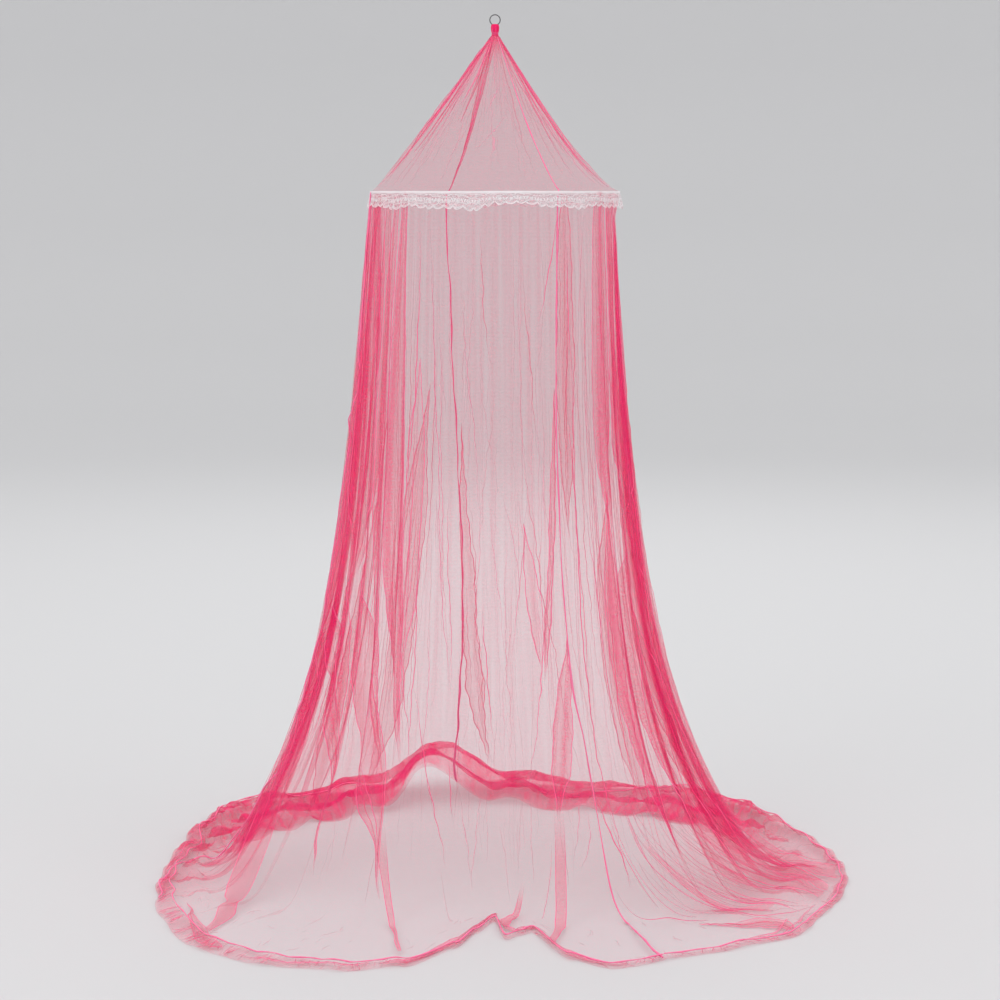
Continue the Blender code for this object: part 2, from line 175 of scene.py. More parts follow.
# How the skirt meets the floor, by azimuth at the hem: the radius where it first lies flat and that
# of its outer edge, the width of the hem turned back, the height of the heaped folds, and the lift
FOOT = (
    # azimuth, contact, edge, turned back, heap, lift
    (0, 0.380, 0.430, 0.024, 0.000, 0.000),
    (2.5, 0.390, 0.580, 0.024, 0.000, 0.000),
    (6, 0.410, 0.545, 0.028, 0.000, 0.000),
    (9.5, 0.440, 0.525, 0.032, 0.000, 0.000),
    (13, 0.490, 0.745, 0.035, 0.000, 0.000),
    (19, 0.530, 0.830, 0.030, 0.000, 0.000),
    (30, 0.550, 0.820, 0.022, 0.000, 0.000),
    (42, 0.580, 0.845, 0.025, 0.000, 0.000),
    (52, 0.620, 0.885, 0.020, 0.000, 0.000),
    (64, 0.680, 0.865, 0.014, 0.002, 0.000),
    (76, 0.720, 0.875, 0.012, 0.004, 0.000),
    (90, 0.740, 0.885, 0.014, 0.009, 0.000),
    (105, 0.740, 0.890, 0.030, 0.016, 0.000),
    (120, 0.730, 0.905, 0.040, 0.028, 0.000),
    (135, 0.710, 0.970, 0.040, 0.046, 0.000),
    (150, 0.680, 0.970, 0.090, 0.042, 0.000),
    (165, 0.660, 0.920, 0.160, 0.040, 0.000),
    (177, 0.700, 0.930, 0.170, 0.040, 0.012),
    (188, 0.740, 0.960, 0.150, 0.036, 0.098),
    (201, 0.690, 0.940, 0.110, 0.040, 0.018),
    (215, 0.690, 0.960, 0.090, 0.044, 0.000),
    (230, 0.720, 0.980, 0.050, 0.046, 0.000),
    (242, 0.740, 0.910, 0.045, 0.036, 0.000),
    (255, 0.750, 0.850, 0.045, 0.024, 0.000),
    (270, 0.750, 0.835, 0.030, 0.018, 0.000),
    (283, 0.740, 0.850, 0.035, 0.012, 0.000),
    (297, 0.700, 0.885, 0.050, 0.006, 0.000),
    (312, 0.650, 0.930, 0.070, 0.000, 0.000),
    (323, 0.610, 0.925, 0.065, 0.000, 0.000),
    (336, 0.560, 0.875, 0.050, 0.000, 0.000),
    (345, 0.500, 0.800, 0.045, 0.000, 0.000),
    (352, 0.440, 0.650, 0.032, 0.000, 0.000),
    (355, 0.410, 0.530, 0.028, 0.000, 0.000),
)

# The heaps that are this high are the densest and have the strongest small folds
FULL_HEAP = 0.046

# How the hanging part flares: first straight, then in a sweep, tucked in a little below the hoop
FLARE = (
    # azimuth, straight share, power of the sweep, tuck
    (0, 0.34, 5.0, 0.000),
    (60, 0.26, 4.4, 0.004),
    (90, 0.22, 4.0, 0.014),
    (130, 0.26, 4.4, 0.004),
    (180, 0.30, 4.6, 0.000),
    (270, 0.37, 4.4, 0.000),
)

# How far the roof sags inside a straight cone, and its pleats
ROOF_SLACK = (
    # azimuth, slack
    (0, 0.008),
    (45, 0.016),
    (75, 0.026),
    (110, 0.026),
    (150, 0.012),
    (220, 0.007),
    (300, 0.006),
)
ROOF_PLEATS = 17
ROOF_PLEAT_DEPTH = 0.011

# The bundle of net over the ring's wire, and the height of its bound waist
NECK = (
    # height, half width, half depth
    (2.0760, 0.0086, 0.0086),
    (2.0790, 0.0078, 0.0078),
    (2.0825, 0.0067, 0.0067),
    (2.0870, 0.0079, 0.0072),
    (2.0920, 0.0089, 0.0072),
    (2.0970, 0.0093, 0.0064),
    (2.1025, 0.0086, 0.0049),
    (2.1050, 0.0066, 0.0036),
    (2.1057, 0.0028, 0.0016),
    (2.1058, 0.0000, 0.0000),
)
WAIST_HEIGHT = 2.0825

# The lace: its drop below the hoop, its rise above it, its repeats and how it ruffles
LACE_DROPS = (
    # azimuth, drop
    (0, 0.026),
    (8, 0.022),
    (16, 0.028),
    (24, 0.034),
    (90, 0.035),
    (180, 0.034),
    (300, 0.035),
    (345, 0.036),
    (352, 0.047),
    (356, 0.036),
)
LACE_RISE = 0.004
LACE_REPEATS = 79
LACE_RUFFLE = 0.0035
LACE_FLARE = 0.10
SCALLOP = 0.18

# The width of a repeat of the lace and the depth of the lace, by which its flowers are laid out
LACE_PITCH = 0.0241
LACE_DEPTH = 0.038

# Rolled edges and wound threads have this many sides, and end in this radius
ROLL_SIDES = 6
CLOSED_END = 0.00002

# How much of the light each kind of cloth stops, as seen straight through one layer
NET_COVER = 0.22
GATHER_COVER = 0.20
HEAP_COVER = 0.50
NECK_COVER = 0.97
ROLL_COVER = 0.96


# ---------------------------------------------------------------- curves and tables


def smooth(low, high, value):
    """0 below low, 1 above high, eased between."""
    share = np.clip((np.asarray(value, float) - low) / (high - low), 0.0, 1.0)
    return share * share * (3.0 - 2.0 * share)


def around(table, azimuth):
    """The table's columns at each azimuth, eased from row to row all the way round."""
    rows = np.array(table, float)
    azimuth = np.mod(azimuth, 360.0)
    low = np.searchsorted(rows[:, 0], azimuth, side="right") - 1
    high = (low + 1) % len(rows)
    span = np.mod(rows[high, 0] - rows[low, 0], 360.0)
    share = np.mod(azimuth - rows[low, 0], 360.0) / span
    ease = share * share * (3.0 - 2.0 * share)
    return [rows[low, k] + (rows[high, k] - rows[low, k]) * ease for k in range(1, rows.shape[1])]


def fold_at(place):
    """The fold table's columns at places counted in folds: 2.5 is midway between rows 2 and 3."""
    rows = np.array(FOLDS, float)
    low = np.floor(place).astype(int)
    share = place - low

    def column(k, row):
        return rows[row % FULL_TURN, k] + (360.0 * (row // FULL_TURN) if k < 2 else 0.0)

    return [column(k, low) * (1.0 - share) + column(k, low + 1) * share for k in range(4)]


def polar(radius, azimuth, height):
    """World points from a radius, an azimuth in degrees and a height above the floor."""
    turn = np.radians(azimuth)
    x, y, z = np.broadcast_arrays(radius * np.sin(turn), -radius * np.cos(turn), height + FLOOR)
    return np.stack([x, y, z], axis=-1)


def seam_at(seam, way, turns=0):
    """The place of a seam or an edge at each way, as many full turns on as turns says."""
    ways, places = np.array(seam, float).T
    return np.interp(way, ways, places) + FULL_TURN * turns


def unit(vectors):
    """The vectors with a length of one."""
    return vectors / np.maximum(np.linalg.norm(vectors, axis=-1, keepdims=True), 1e-12)


def stepped(*parts):
    """Evenly spaced values over each part (from, to, number), the parts joined end to end."""
    return np.append(np.concatenate([np.linspace(*part)[:-1] for part in parts]), parts[-1][1])


def calmed(points, reach):
    """Rows of points, each row moved to the mean of its neighbours as far as reach rows away."""
    if not reach:
        return points
    flat = np.pad(points.reshape(len(points), -1), ((reach, reach), (0, 0)), mode="edge")
    kernel = np.ones(2 * reach + 1) / (2 * reach + 1)
    columns = [np.convolve(column, kernel, mode="valid") for column in flat.T]
    return np.stack(columns, axis=-1).reshape(points.shape)


# ---------------------------------------------------------------- the skirt's surface


def skirt_base(place, way):
    """Points of the skirt's main folds."""
    place, way = np.broadcast_arrays(np.asarray(place, float), np.asarray(way, float))
    hoop, hem, waist, foot = fold_at(place)
    contact, edge, turned, heap, lift = around(FOOT, hem)
    wave = np.cos(2.0 * np.pi * place)
    trough = 0.5 - 0.5 * wave

    # the hanging part
    level = np.clip(way, 0.0, 1.0)
    lean = hoop + (hem - hoop) * LEAN_SHARE * level**3
    straight, power, tuck = around(FLARE, lean)
    reach = straight * level + (1.0 - straight) * level**power
    radius = SKIRT_RIM + (contact - SKIRT_RIM) * reach
    radius -= tuck * smooth(0.0, 0.04, level) * (1.0 - smooth(0.12, 0.50, level))
    depth = waist * smooth(0.02, 0.40, level) + (foot - waist) * smooth(0.40, 0.90, level)
    radius -= depth * trough
    drop = HOOP_HEIGHT + LAP - (HOOP_HEIGHT + LAP + BEND) * level
    height = np.where(drop >= BEND, drop, (drop + BEND) ** 2 / (4.0 * BEND))
    height += lift * smooth(0.80, 1.0, level)
    height += ridge_height(wave, foot, 0.0) * smooth(0.93, 1.0, level)

    # over the floor, then round the turn and back over itself
    turn = np.clip((way - 2.0) / 0.2, 0.0, 1.0)
    back = np.clip((way - 2.2) / 0.8, 0.0, 1.0)
    share = np.clip(way - 1.0, 0.0, 1.0) - back * turned / (edge - contact)
    on_floor = way > 1.0
    floor_lean = hoop + (hem - hoop) * (LEAN_SHARE + (1.0 - LEAN_SHARE) * share)
    floor_radius = contact + (edge - contact) * share - foot * trough * (1.0 - WAVE_FADE * share)
    floor_radius += HEM_BULGE * np.sin(np.pi * turn) * (back <= 0.0)
    floor_height = ridge_height(wave, foot, share) + heap_height(place, share, heap) + lift
    floor_height += HEM_FOLD_HEIGHT * (0.5 - 0.5 * np.cos(np.pi * turn))
    return polar(
        np.where(on_floor, floor_radius, radius),
        np.where(on_floor, floor_lean, lean),
        np.where(on_floor, floor_height, height) + CLOTH / 2,
    )


def ridge_height(wave, foot, share):
    """A fold of the hanging part runs on over the floor as a low ridge, flat on both sides."""
    return RIDGE_SHARE * foot * np.maximum(wave, 0.0) * (1.0 - RIDGE_FADE * share)


def heap_height(place, share, heap):
    """Heaped folds run round the foot: two crests between the contact and the edge."""
    uneven = 0.75 + 0.25 * np.sin(2.4 * place) * np.cos(1.1 * place)
    return heap * uneven * (0.5 - 0.5 * np.cos(4.0 * np.pi * share))


def heap_share(place):
    """How high the heaped folds are, as a share of the highest."""
    return around(FOOT, fold_at(place)[1])[3] / FULL_HEAP


def gathering(place):
    """0 where the skirt hangs flat, at the front and back, and 1 in its gathered sides."""
    return smooth(0.008, 0.018, fold_at(place)[2])


def small_folds(place, way):
    """How far the small folds between the main ones stand out from the surface."""
    gather = gathering(place)
    hang = smooth(0.01, 0.10, way) * (1.0 - smooth(0.95, 1.05, way))
    deep = (0.0009 + 0.0042 * gather) * (0.6 + 0.4 * smooth(0.2, 0.8, way))
    sway = 0.22 * np.sin(5.3 * way + 1.7 * place) + 0.10 * np.sin(13.0 * way + 0.9 * place)
    waves = 0.50 * np.cos(2.0 * np.pi * (1.93 * place + sway))
    waves += 0.32 * np.cos(2.0 * np.pi * (3.17 * place - 1.4 * sway + 0.3))
    waves += 0.18 * np.cos(2.0 * np.pi * (5.41 * place + 0.8 * sway + 0.6))
    on_floor = smooth(0.98, 1.08, way) * (1.0 - smooth(1.93, 2.0, way))
    creep = np.sin(9.0 * way + 2.1 * place) + np.sin(23.0 * way - 3.3 * place)
    rise = 0.0016 * np.cos(2.0 * np.pi * (2.3 * place + 0.35 * creep))
    heap = heap_share(place)
    heap_waves = np.cos(2.0 * np.pi * (3.1 * place + 1.6 * way + 0.4 * creep))
    heap_waves += np.cos(2.0 * np.pi * (1.3 * place - 5.2 * way))
    return hang * deep * waves + on_floor * (np.abs(rise) + 0.004 * heap * heap_waves)


def surface_frame(base, across, along):
    """Points of a surface with its two slopes, per unit of each coordinate."""
    step = 2e-4
    points = base(across, along)
    slope_across = (base(across + step, along) - points) / step
    slope_along = (base(across, along + step) - points) / step
    return points, slope_across, slope_along


def skirt_surface(place, way, lift=0.0):
    """Points of the finished skirt, and as far off it as lift says."""
    place, way = np.broadcast_arrays(np.asarray(place, float), np.asarray(way, float))
    points, along_place, along_way = surface_frame(skirt_base, place, way)
    outward = unit(np.cross(along_way, along_place))
    outward = np.where((way > 2.1)[..., None], np.array([0.0, 0.0, 1.0]), outward)
    points = points + outward * (small_folds(place, way) + lift)[..., None]
    points[..., 2] = np.maximum(points[..., 2], FLOOR + FLOOR_CLEAR)
    return points


# ---------------------------------------------------------------- the roof's surface


def pleat_azimuth(place):
    """Azimuth of a place counted in roof pleats, which are a little uneven."""
    return 360.0 * (place / ROOF_PLEATS + 0.006 * np.sin(1.7 * place))


def pleat_at(azimuth):
    """The places, counted in roof pleats, of the azimuths along an unbroken line."""
    places = np.linspace(0.0, ROOF_PLEATS, 2000)
    line = np.interp(np.mod(azimuth, 360.0), pleat_azimuth(places), places)
    return np.unwrap(line, period=ROOF_PLEATS)


def neck_at(height):
    """The half width and the half depth of the neck at a height above the floor."""
    rows = np.array(NECK, float)
    return np.interp(height, rows[:, 0], rows[:, 1]), np.interp(height, rows[:, 0], rows[:, 2])


def roof_base(place, level):
    """Points of the roof: level is 0 at the hoop, 1 where it enters the neck, 2 at its top."""
    place, level = np.broadcast_arrays(np.asarray(place, float), np.asarray(level, float))
    azimuth = pleat_azimuth(np.mod(place, ROOF_PLEATS))
    slack = around(ROOF_SLACK, azimuth)[0]
    cone = np.clip(level, 0.0, 1.0)
    start = HOOP_HEIGHT + ROOF_START
    shoulder = ROOF_RIM - ROOF_DRAW
    radius = shoulder + (NECK_RADIUS - shoulder) * cone
    radius -= slack * np.sin(np.pi * cone**0.55)
    wave = 0.5 - 0.5 * np.cos(2.0 * np.pi * place)
    radius -= ROOF_PLEAT_DEPTH * wave * np.sin(np.pi * cone) ** 0.8 * (1.0 - 0.55 * cone)
    height = start + (ROOF_TOP - start) * cone
    lap = np.clip(-level, 0.0, 1.0)
    radius = np.where(level < 0.0, shoulder + ROOF_DRAW * smooth(0.0, 0.3, lap), radius)
    height = np.where(level < 0.0, start - (ROOF_START + LAP) * lap, height)

    neck_height = ROOF_TOP + (NECK[-1][0] - ROOF_TOP) * (level - 1.0)
    width, depth = neck_at(neck_height)
    star = 1.0 + 0.10 * smooth(1.0, 1.15, level) * np.cos(2.0 * np.pi * place)
    turn = np.radians(azimuth)
    neck = np.stack(
        [width * star * np.sin(turn), -depth * star * np.cos(turn), neck_height + FLOOR], axis=-1
    )
    return np.where((level > 1.0)[..., None], neck, polar(radius, azimuth, height))


def roof_surface(place, level, lift=0.0):
    """Points of the finished roof, with the small folds between its pleats."""
    place, level = np.broadcast_arrays(np.asarray(place, float), np.asarray(level, float))
    points, along_place, along_level = surface_frame(roof_base, place, level)
    outward = unit(np.cross(along_place, along_level))
    span = smooth(0.03, 0.20, level) * (1.0 - smooth(0.90, 1.0, level))
    sway = 0.3 * np.sin(4.0 * level + 1.3 * place)
    fine = 0.6 * np.cos(2.0 * np.pi * (2.07 * place + sway))
    fine += 0.4 * np.cos(2.0 * np.pi * (4.3 * place - 1.7 * sway))
    sides = np.abs(np.sin(np.radians(pleat_azimuth(np.mod(place, ROOF_PLEATS)))))
    depth = (0.0006 + 0.0022 * sides**2) * (1.0 - 0.5 * np.clip(level, 0.0, 1.0))
    return points + outward * (span * depth * fine + lift)[..., None]


# ---------------------------------------------------------------- the lace's surface


def scallop_edge(turn):
    """How far down the lace reaches: 1 in the middle of a scallop, less between two."""
    return 1.0 - SCALLOP * (1.0 - np.abs(np.sin(np.pi * turn)) ** 0.8)


def lace_surface(turn, down, lift=0.0):
    """Points of the lace: turn counts repeats, down is 0 at the heading and 1 at the scallops."""
    turn, down = np.broadcast_arrays(np.asarray(turn, float), np.asarray(down, float))
    azimuth = 360.0 * turn / LACE_REPEATS
    hang = np.maximum(down, 0.0)
    drop = around(LACE_DROPS, azimuth)[0]
    uneven = 0.07 * np.sin(2.0 * azimuth * np.pi / 30.0) + 0.06 * np.sin(azimuth * np.pi / 9.0)
    drop = drop * (1.0 + uneven)
    height = HOOP_HEIGHT + LACE_RISE - (LACE_RISE + drop) * down
    flare = LACE_FLARE * np.maximum(HOOP_HEIGHT - height, 0.0)
    swing = np.pi * turn + 1.5 * np.sin(2.0 * np.pi * turn * 5 / LACE_REPEATS)
    swing += 0.8 * np.sin(2.0 * np.pi * turn * 13 / LACE_REPEATS + 1.0)
    ruffle = 0.5 + 0.5 * np.sin(swing)
    radius = LACE_RIM + flare + LACE_RUFFLE * ruffle * hang**1.5
    radius += 0.0014 * (1.0 + np.sin(2.3 * swing + 1.1)) * hang
    sideways = 0.45 * np.cos(swing) * hang**1.5
    return polar(radius + lift, azimuth + sideways, height)


# ---------------------------------------------------------------- cloth meshes


class Cloth:
    """Grids of points gathered into one mesh, each point with its cover and its painted highlight.
    """

    def __init__(self):
        self.points, self.quads, self.cover, self.bright, self.uv = [], [], [], [], []
        self.count = 0

    def add(self, points, cover, bright=0.0, flip=False):
        """points has a row for each step down and a column for each step across."""
        rows, columns = points.shape[:2]
        index = np.arange(rows * columns).reshape(rows, columns) + self.count
        corners = [index[:-1, :-1], index[1:, :-1], index[1:, 1:], index[:-1, 1:]]
        quads = np.stack(corners[::-1] if flip else corners, axis=-1).reshape(-1, 4)

        # the cloth laid flat, in metres
        down = np.linalg.norm(np.diff(points, axis=0), axis=-1)
        side = np.linalg.norm(np.diff(points, axis=1), axis=-1)
        v = np.vstack([np.zeros((1, columns)), np.cumsum(down, axis=0)])
        u = np.hstack([np.zeros((rows, 1)), np.cumsum(side, axis=1)])
        uv = np.stack([u - u[:, -1:] / 2, v], axis=-1)
        self.points.append(points.reshape(-1, 3))
        self.quads.append(quads)
        self.cover.append(np.broadcast_to(cover, (rows, columns)).reshape(-1))
        self.bright.append(np.broadcast_to(bright, (rows, columns)).reshape(-1))
        self.uv.append(uv.reshape(-1, 2))
        self.count += rows * columns

    def build(self, name, material):
        """One object of all the grids, its cover and painted highlight kept as attributes."""
        points, quads = np.concatenate(self.points), np.concatenate(self.quads)
        mesh = bpy.data.meshes.new(name)
        mesh.vertices.add(len(points))
        mesh.vertices.foreach_set("co", points.astype(np.float32).ravel())
        mesh.loops.add(quads.size)
        mesh.loops.foreach_set("vertex_index", quads.astype(np.int32).ravel())
        mesh.polygons.add(len(quads))
        mesh.polygons.foreach_set("loop_start", np.arange(0, quads.size, 4, dtype=np.int32))
        mesh.update(calc_edges=True)
        mesh.validate()
        # the second attribute is the painted highlight: how far the net's colour is lightened
        for attribute, values in (("cover", self.cover), ("bright", self.bright)):
            layer = mesh.attributes.new(attribute, "FLOAT", "POINT")
            layer.data.foreach_set("value", np.concatenate(values).astype(np.float32))
        uv = np.concatenate(self.uv)
        layer = mesh.uv_layers.new(name="cloth")
        corner = np.empty(len(mesh.loops), np.int32)
        mesh.loops.foreach_get("vertex_index", corner)
        layer.data.foreach_set("uv", uv[corner].astype(np.float32).ravel())
        mesh.shade_smooth()
        mesh.materials.append(material)
        piece = bpy.data.objects.new(name, mesh)
        bpy.context.scene.collection.objects.link(piece)
        return piece


def add_strip(cloth, surface, path, width, rise, cover, bright, gap=0.0004, calm=0):
    """A crease, fold or thread along a path of (across, along) values on a surface.

    Its edges stand off the surface by the gap and its middle by the rise more. Calm is how many
    rows it is eased over on both sides.
    """
    u, v = (np.asarray(values, float) for values in path)
    width, cover = (np.broadcast_to(np.asarray(x, float), u.shape) for x in (width, cover))
    _, slope_u, slope_v = surface_frame(surface, u, v)
    size_u = np.maximum(np.linalg.norm(slope_u, axis=-1), 1e-6)
    size_v = np.maximum(np.linalg.norm(slope_v, axis=-1), 1e-6)
    run_u, run_v = np.gradient(u) * size_u, np.gradient(v) * size_v
    length = np.maximum(np.hypot(run_u, run_v), 1e-9)
    offsets = np.array([-1.0, 0.0, 1.0])
    half = width[:, None] / 2 * offsets
    side_u = u[:, None] - (run_v / length / size_u)[:, None] * half
    side_v = v[:, None] + (run_u / length / size_v)[:, None] * half
    lift = gap + rise * (1.0 - offsets**2)
    points = calmed(surface(side_u, side_v, lift), calm)
    cloth.add(points, cover[:, None], bright, flip=True)


def add_tube(cloth, centre, radius, cover, bright):
    """A round roll or thread along a line of points, its ends drawn together."""
    run = unit(np.gradient(centre, axis=0))
    # a little off straight up, so that a line that hangs plumb has sides too
    up = np.array([0.0, 0.0, 1.0]) + 0.001
    side = unit(np.cross(run, up))
    top = np.cross(side, run)
    radius = np.array(np.broadcast_to(radius, len(centre)), float)
    radius[[0, -1]] = CLOSED_END
    turns = np.linspace(0.0, 2.0 * np.pi, ROLL_SIDES + 1)
    rings = (
        centre[:, None]
        + side[:, None] * np.cos(turns)[None, :, None] * radius[:, None, None]
        + top[:, None] * np.sin(turns)[None, :, None] * radius[:, None, None]
    )
    cloth.add(rings, cover, bright)


# ---------------------------------------------------------------- materials


def new_material(name):
    """A material with its node tree and its main shader."""
    material = bpy.data.materials.new(name)
    material.use_nodes = True
    tree = material.node_tree
    return material, tree, tree.nodes["Principled BSDF"]


def add_node(tree, kind, **values):
    """A node with its values set: those named in_ are its sockets and the rest its settings."""
    node = tree.nodes.new(kind)
    for name, value in values.items():
        if name.startswith("in_"):
            node.inputs[name[3:].replace("_", " ")].default_value = value
        else:
            setattr(node, name, value)
    return node


def link(tree, source, target):
    """Join one node's result to another node's socket."""
    tree.links.new(source, target)


def maths(tree, operation, *values):
    """A Math node on sockets or plain numbers, and its result."""
    node = tree.nodes.new("ShaderNodeMath")
    node.operation = operation
    for socket, value in zip(node.inputs, values):
        if isinstance(value, (int, float)):
            socket.default_value = value
        else:
            link(tree, value, socket)
    return node.outputs[0]


def noise(tree, scale, detail, coordinates):
    """The result of a Noise node."""
    node = add_node(tree, "ShaderNodeTexNoise", in_Scale=scale, in_Detail=detail)
    link(tree, coordinates, node.inputs["Vector"])
    return node.outputs["Fac"]


def mottled(tree, shader, colour, dark, pattern):
    """The colour, down to its dark share where the pattern is low."""
    ramp = add_node(tree, "ShaderNodeValToRGB")
    ramp.color_ramp.elements[0].color = (*(dark * c for c in colour), 1.0)
    ramp.color_ramp.elements[1].color = (*colour, 1.0)
    link(tree, pattern, ramp.inputs["Fac"])
    link(tree, ramp.outputs["Color"], shader.inputs["Base Color"])


def net_material(name, colour, painted_highlight_colour, pitch):
    """Knitted net: it stops as much light as the cover attribute says, in a fine staggered mesh, and
    is lightened by a painted highlight.
    """
    material, tree, shader = new_material(name)
    uv = add_node(tree, "ShaderNodeUVMap", uv_map="cloth")
    cover = add_node(tree, "ShaderNodeAttribute", attribute_name="cover")
    # painted highlight: how far the net's colour is lightened on rolled edges, creases and fold
    # edges
    bright = add_node(tree, "ShaderNodeAttribute", attribute_name="bright")
    threads = add_node(
        tree, "ShaderNodeTexBrick", offset=0.5, in_Scale=1.0, in_Mortar_Size=pitch * 0.16,
        in_Brick_Width=pitch, in_Row_Height=pitch * 0.8,
    )
    link(tree, uv.outputs["UV"], threads.inputs["Vector"])
    cloudy = noise(tree, 170.0, 2.0, uv.outputs["UV"])
    rows = add_node(
        tree, "ShaderNodeTexWave", bands_direction="Y", in_Scale=34.0, in_Distortion=7.0,
        in_Detail=2.0, in_Detail_Scale=2.5,
    )
    link(tree, uv.outputs["UV"], rows.inputs["Vector"])
    grain = maths(tree, "MULTIPLY_ADD", threads.outputs["Fac"], 0.5, 0.45)
    soft = maths(tree, "MULTIPLY_ADD", cloudy, 0.7, 0.35)
    banded = maths(tree, "MULTIPLY_ADD", rows.outputs["Fac"], 0.30, 0.85)
    grained = maths(tree, "MULTIPLY", maths(tree, "MULTIPLY", grain, soft), banded)
    # dense cloth shows no mesh: the grain fades as the cover nears one
    dense = maths(tree, "POWER", cover.outputs["Fac"], 2.0)
    loose = maths(tree, "MULTIPLY", cover.outputs["Fac"], grained)
    mix = add_node(tree, "ShaderNodeMix", data_type="FLOAT")
    link(tree, dense, mix.inputs["Factor"])
    link(tree, loose, mix.inputs["A"])
    link(tree, cover.outputs["Fac"], mix.inputs["B"])
    clamp = add_node(tree, "ShaderNodeClamp")
    link(tree, mix.outputs["Result"], clamp.inputs["Value"])
    link(tree, clamp.outputs["Result"], shader.inputs["Alpha"])
    # painted highlight: the net's colour mixed towards a lighter pink as the highlight attribute
    # says
    painted_highlight_mix = add_node(tree, "ShaderNodeMix", data_type="RGBA")
    painted_highlight_mix.inputs["A"].default_value = (*colour, 1.0)
    painted_highlight_mix.inputs["B"].default_value = (*painted_highlight_colour, 1.0)
    link(tree, bright.outputs["Fac"], painted_highlight_mix.inputs["Factor"])
    link(tree, painted_highlight_mix.outputs["Result"], shader.inputs["Base Color"])
    shader.inputs["Roughness"].default_value = 0.55
    shader.inputs["Specular IOR Level"].default_value = 0.12
    shader.inputs["Sheen Weight"].default_value = 0.08
    shader.inputs["Sheen Tint"].default_value = (1.0, 0.25, 0.45, 1.0)
    return material


def lace_material(name, colour):
    """White cotton, as open as the cover attribute says, its yarn finely twisted."""
    material, tree, shader = new_material(name)
    uv = add_node(tree, "ShaderNodeUVMap", uv_map="cloth")
    cover = add_node(tree, "ShaderNodeAttribute", attribute_name="cover")
    mottled(tree, shader, colour, 0.84, noise(tree, 900.0, 2.0, uv.outputs["UV"]))
    link(tree, cover.outputs["Fac"], shader.inputs["Alpha"])
    shader.inputs["Roughness"].default_value = 0.70
    shader.inputs["Sheen Weight"].default_value = 0.20
    return material


def steel_material(name, colour):
    """Dull steel wire with fine scratches."""
    material, tree, shader = new_material(name)
    place = add_node(tree, "ShaderNodeTexCoord")
    rough = add_node(tree, "ShaderNodeMapRange", in_To_Min=0.38, in_To_Max=0.58)
    link(tree, noise(tree, 2600.0, 3.0, place.outputs["Object"]), rough.inputs["Value"])
    link(tree, rough.outputs["Result"], shader.inputs["Roughness"])
    shader.inputs["Base Color"].default_value = (*colour, 1.0)
    shader.inputs["Metallic"].default_value = 1.0
    return material


def hoop_material(name, colour):
    """White plastic, a little mottled."""
    material, tree, shader = new_material(name)
    place = add_node(tree, "ShaderNodeTexCoord")
    mottled(tree, shader, colour, 0.92, noise(tree, 220.0, 3.0, place.outputs["Object"]))
    shader.inputs["Roughness"].default_value = 0.48
    return material


# ---------------------------------------------------------------- sizes and colours to change


class CanopySizes(bpy.types.PropertyGroup):
    """Sizes of the canopy's mesh, rolled edges and threads"""

    mesh_pitch: FloatProperty(
        name="Net mesh", description="Distance between the net's holes",
        default=0.0024, min=0.001, unit="LENGTH",
    )
    hem_roll: FloatProperty(
        name="Hem roll", description="Radius of the rolled edge along the hem",
        default=0.0015, min=0.0005, unit="LENGTH",
    )
    seam_roll: FloatProperty(
        name="Seam roll", description="Radius of the rolled seams between the panels",
        default=0.0023, min=0.0005, unit="LENGTH",
    )
    lace_thread: FloatProperty(
        name="Lace thread", description="Width of the lace's outlining threads",
        default=0.0015, min=0.0003, unit="LENGTH",
    )
    binding_thread: FloatProperty(
        name="Binding thread", description="Radius of the thread wound round the neck",
        default=0.0005, min=0.0002, unit="LENGTH",
    )
    binding_turns: IntProperty(
        name="Binding turns", description="Turns of thread wound round the neck",
        default=6, min=1,
    )


class CanopyColours(bpy.types.PropertyGroup):
    """Colours of the canopy's parts and of the studio's floor"""

    net: FloatVectorProperty(
        name="Net", description="Colour of the net's yarn",
        default=(0.90, 0.014, 0.15), subtype="COLOR",
    )
    # painted highlight: this lighter pink is mixed into the net along the hem, the seams, creases
    # and fold edges, where light catches them
    rolls: FloatVectorProperty(
        name="Rolled edges", description="Colour of the hem and the seams",
        default=(1.0, 0.22, 0.42), subtype="COLOR",
    )
    lace: FloatVectorProperty(
        name="Lace", description="Colour of the lace", default=(0.93, 0.89, 0.91), subtype="COLOR"
    )
    steel: FloatVectorProperty(
        name="Ring", description="Colour of the steel ring",
        default=(0.10, 0.10, 0.105), subtype="COLOR",
    )
    hoop: FloatVectorProperty(
        name="Hoop", description="Colour of the plastic hoop",
        default=(0.86, 0.82, 0.84), subtype="COLOR",
    )
    floor: FloatVectorProperty(
        name="Floor", description="Colour of the studio floor",
        default=(0.60, 0.60, 0.61), subtype="COLOR",
    )


def add_material(name, make, *settings):
    """The named material, made once and then shared."""
    return bpy.data.materials.get(name) or make(name, *settings)


def the_net(context):
    """The pink net of the roof, the skirt and their rolled edges."""
    colours, sizes = context.scene.canopy_colours, context.scene.canopy_sizes
    return add_material("pink_net", net_material, colours.net, colours.rolls, sizes.mesh_pitch)


def finish_piece(piece, slot, *nodes):
    """The piece rides on the root body and takes the nodes' place; the slot is not used."""
    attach(piece, "root")
    if nodes:
        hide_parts(*nodes)


def deselect():
    """Leave nothing selected, so that the next tool works on the new object only."""
    bpy.ops.object.select_all(action="DESELECT")


# ---------------------------------------------------------------- operators


# The studio's floor runs out flat and then curves up into a round wall: radius and height
STUDIO_WALL = (
    (10.0, 0.0),
    (11.5, 0.12),
    (13.0, 0.55),
    (14.3, 1.45),
    (15.2, 2.80),
    (15.7, 4.60),
    (15.8, 6.50),
)

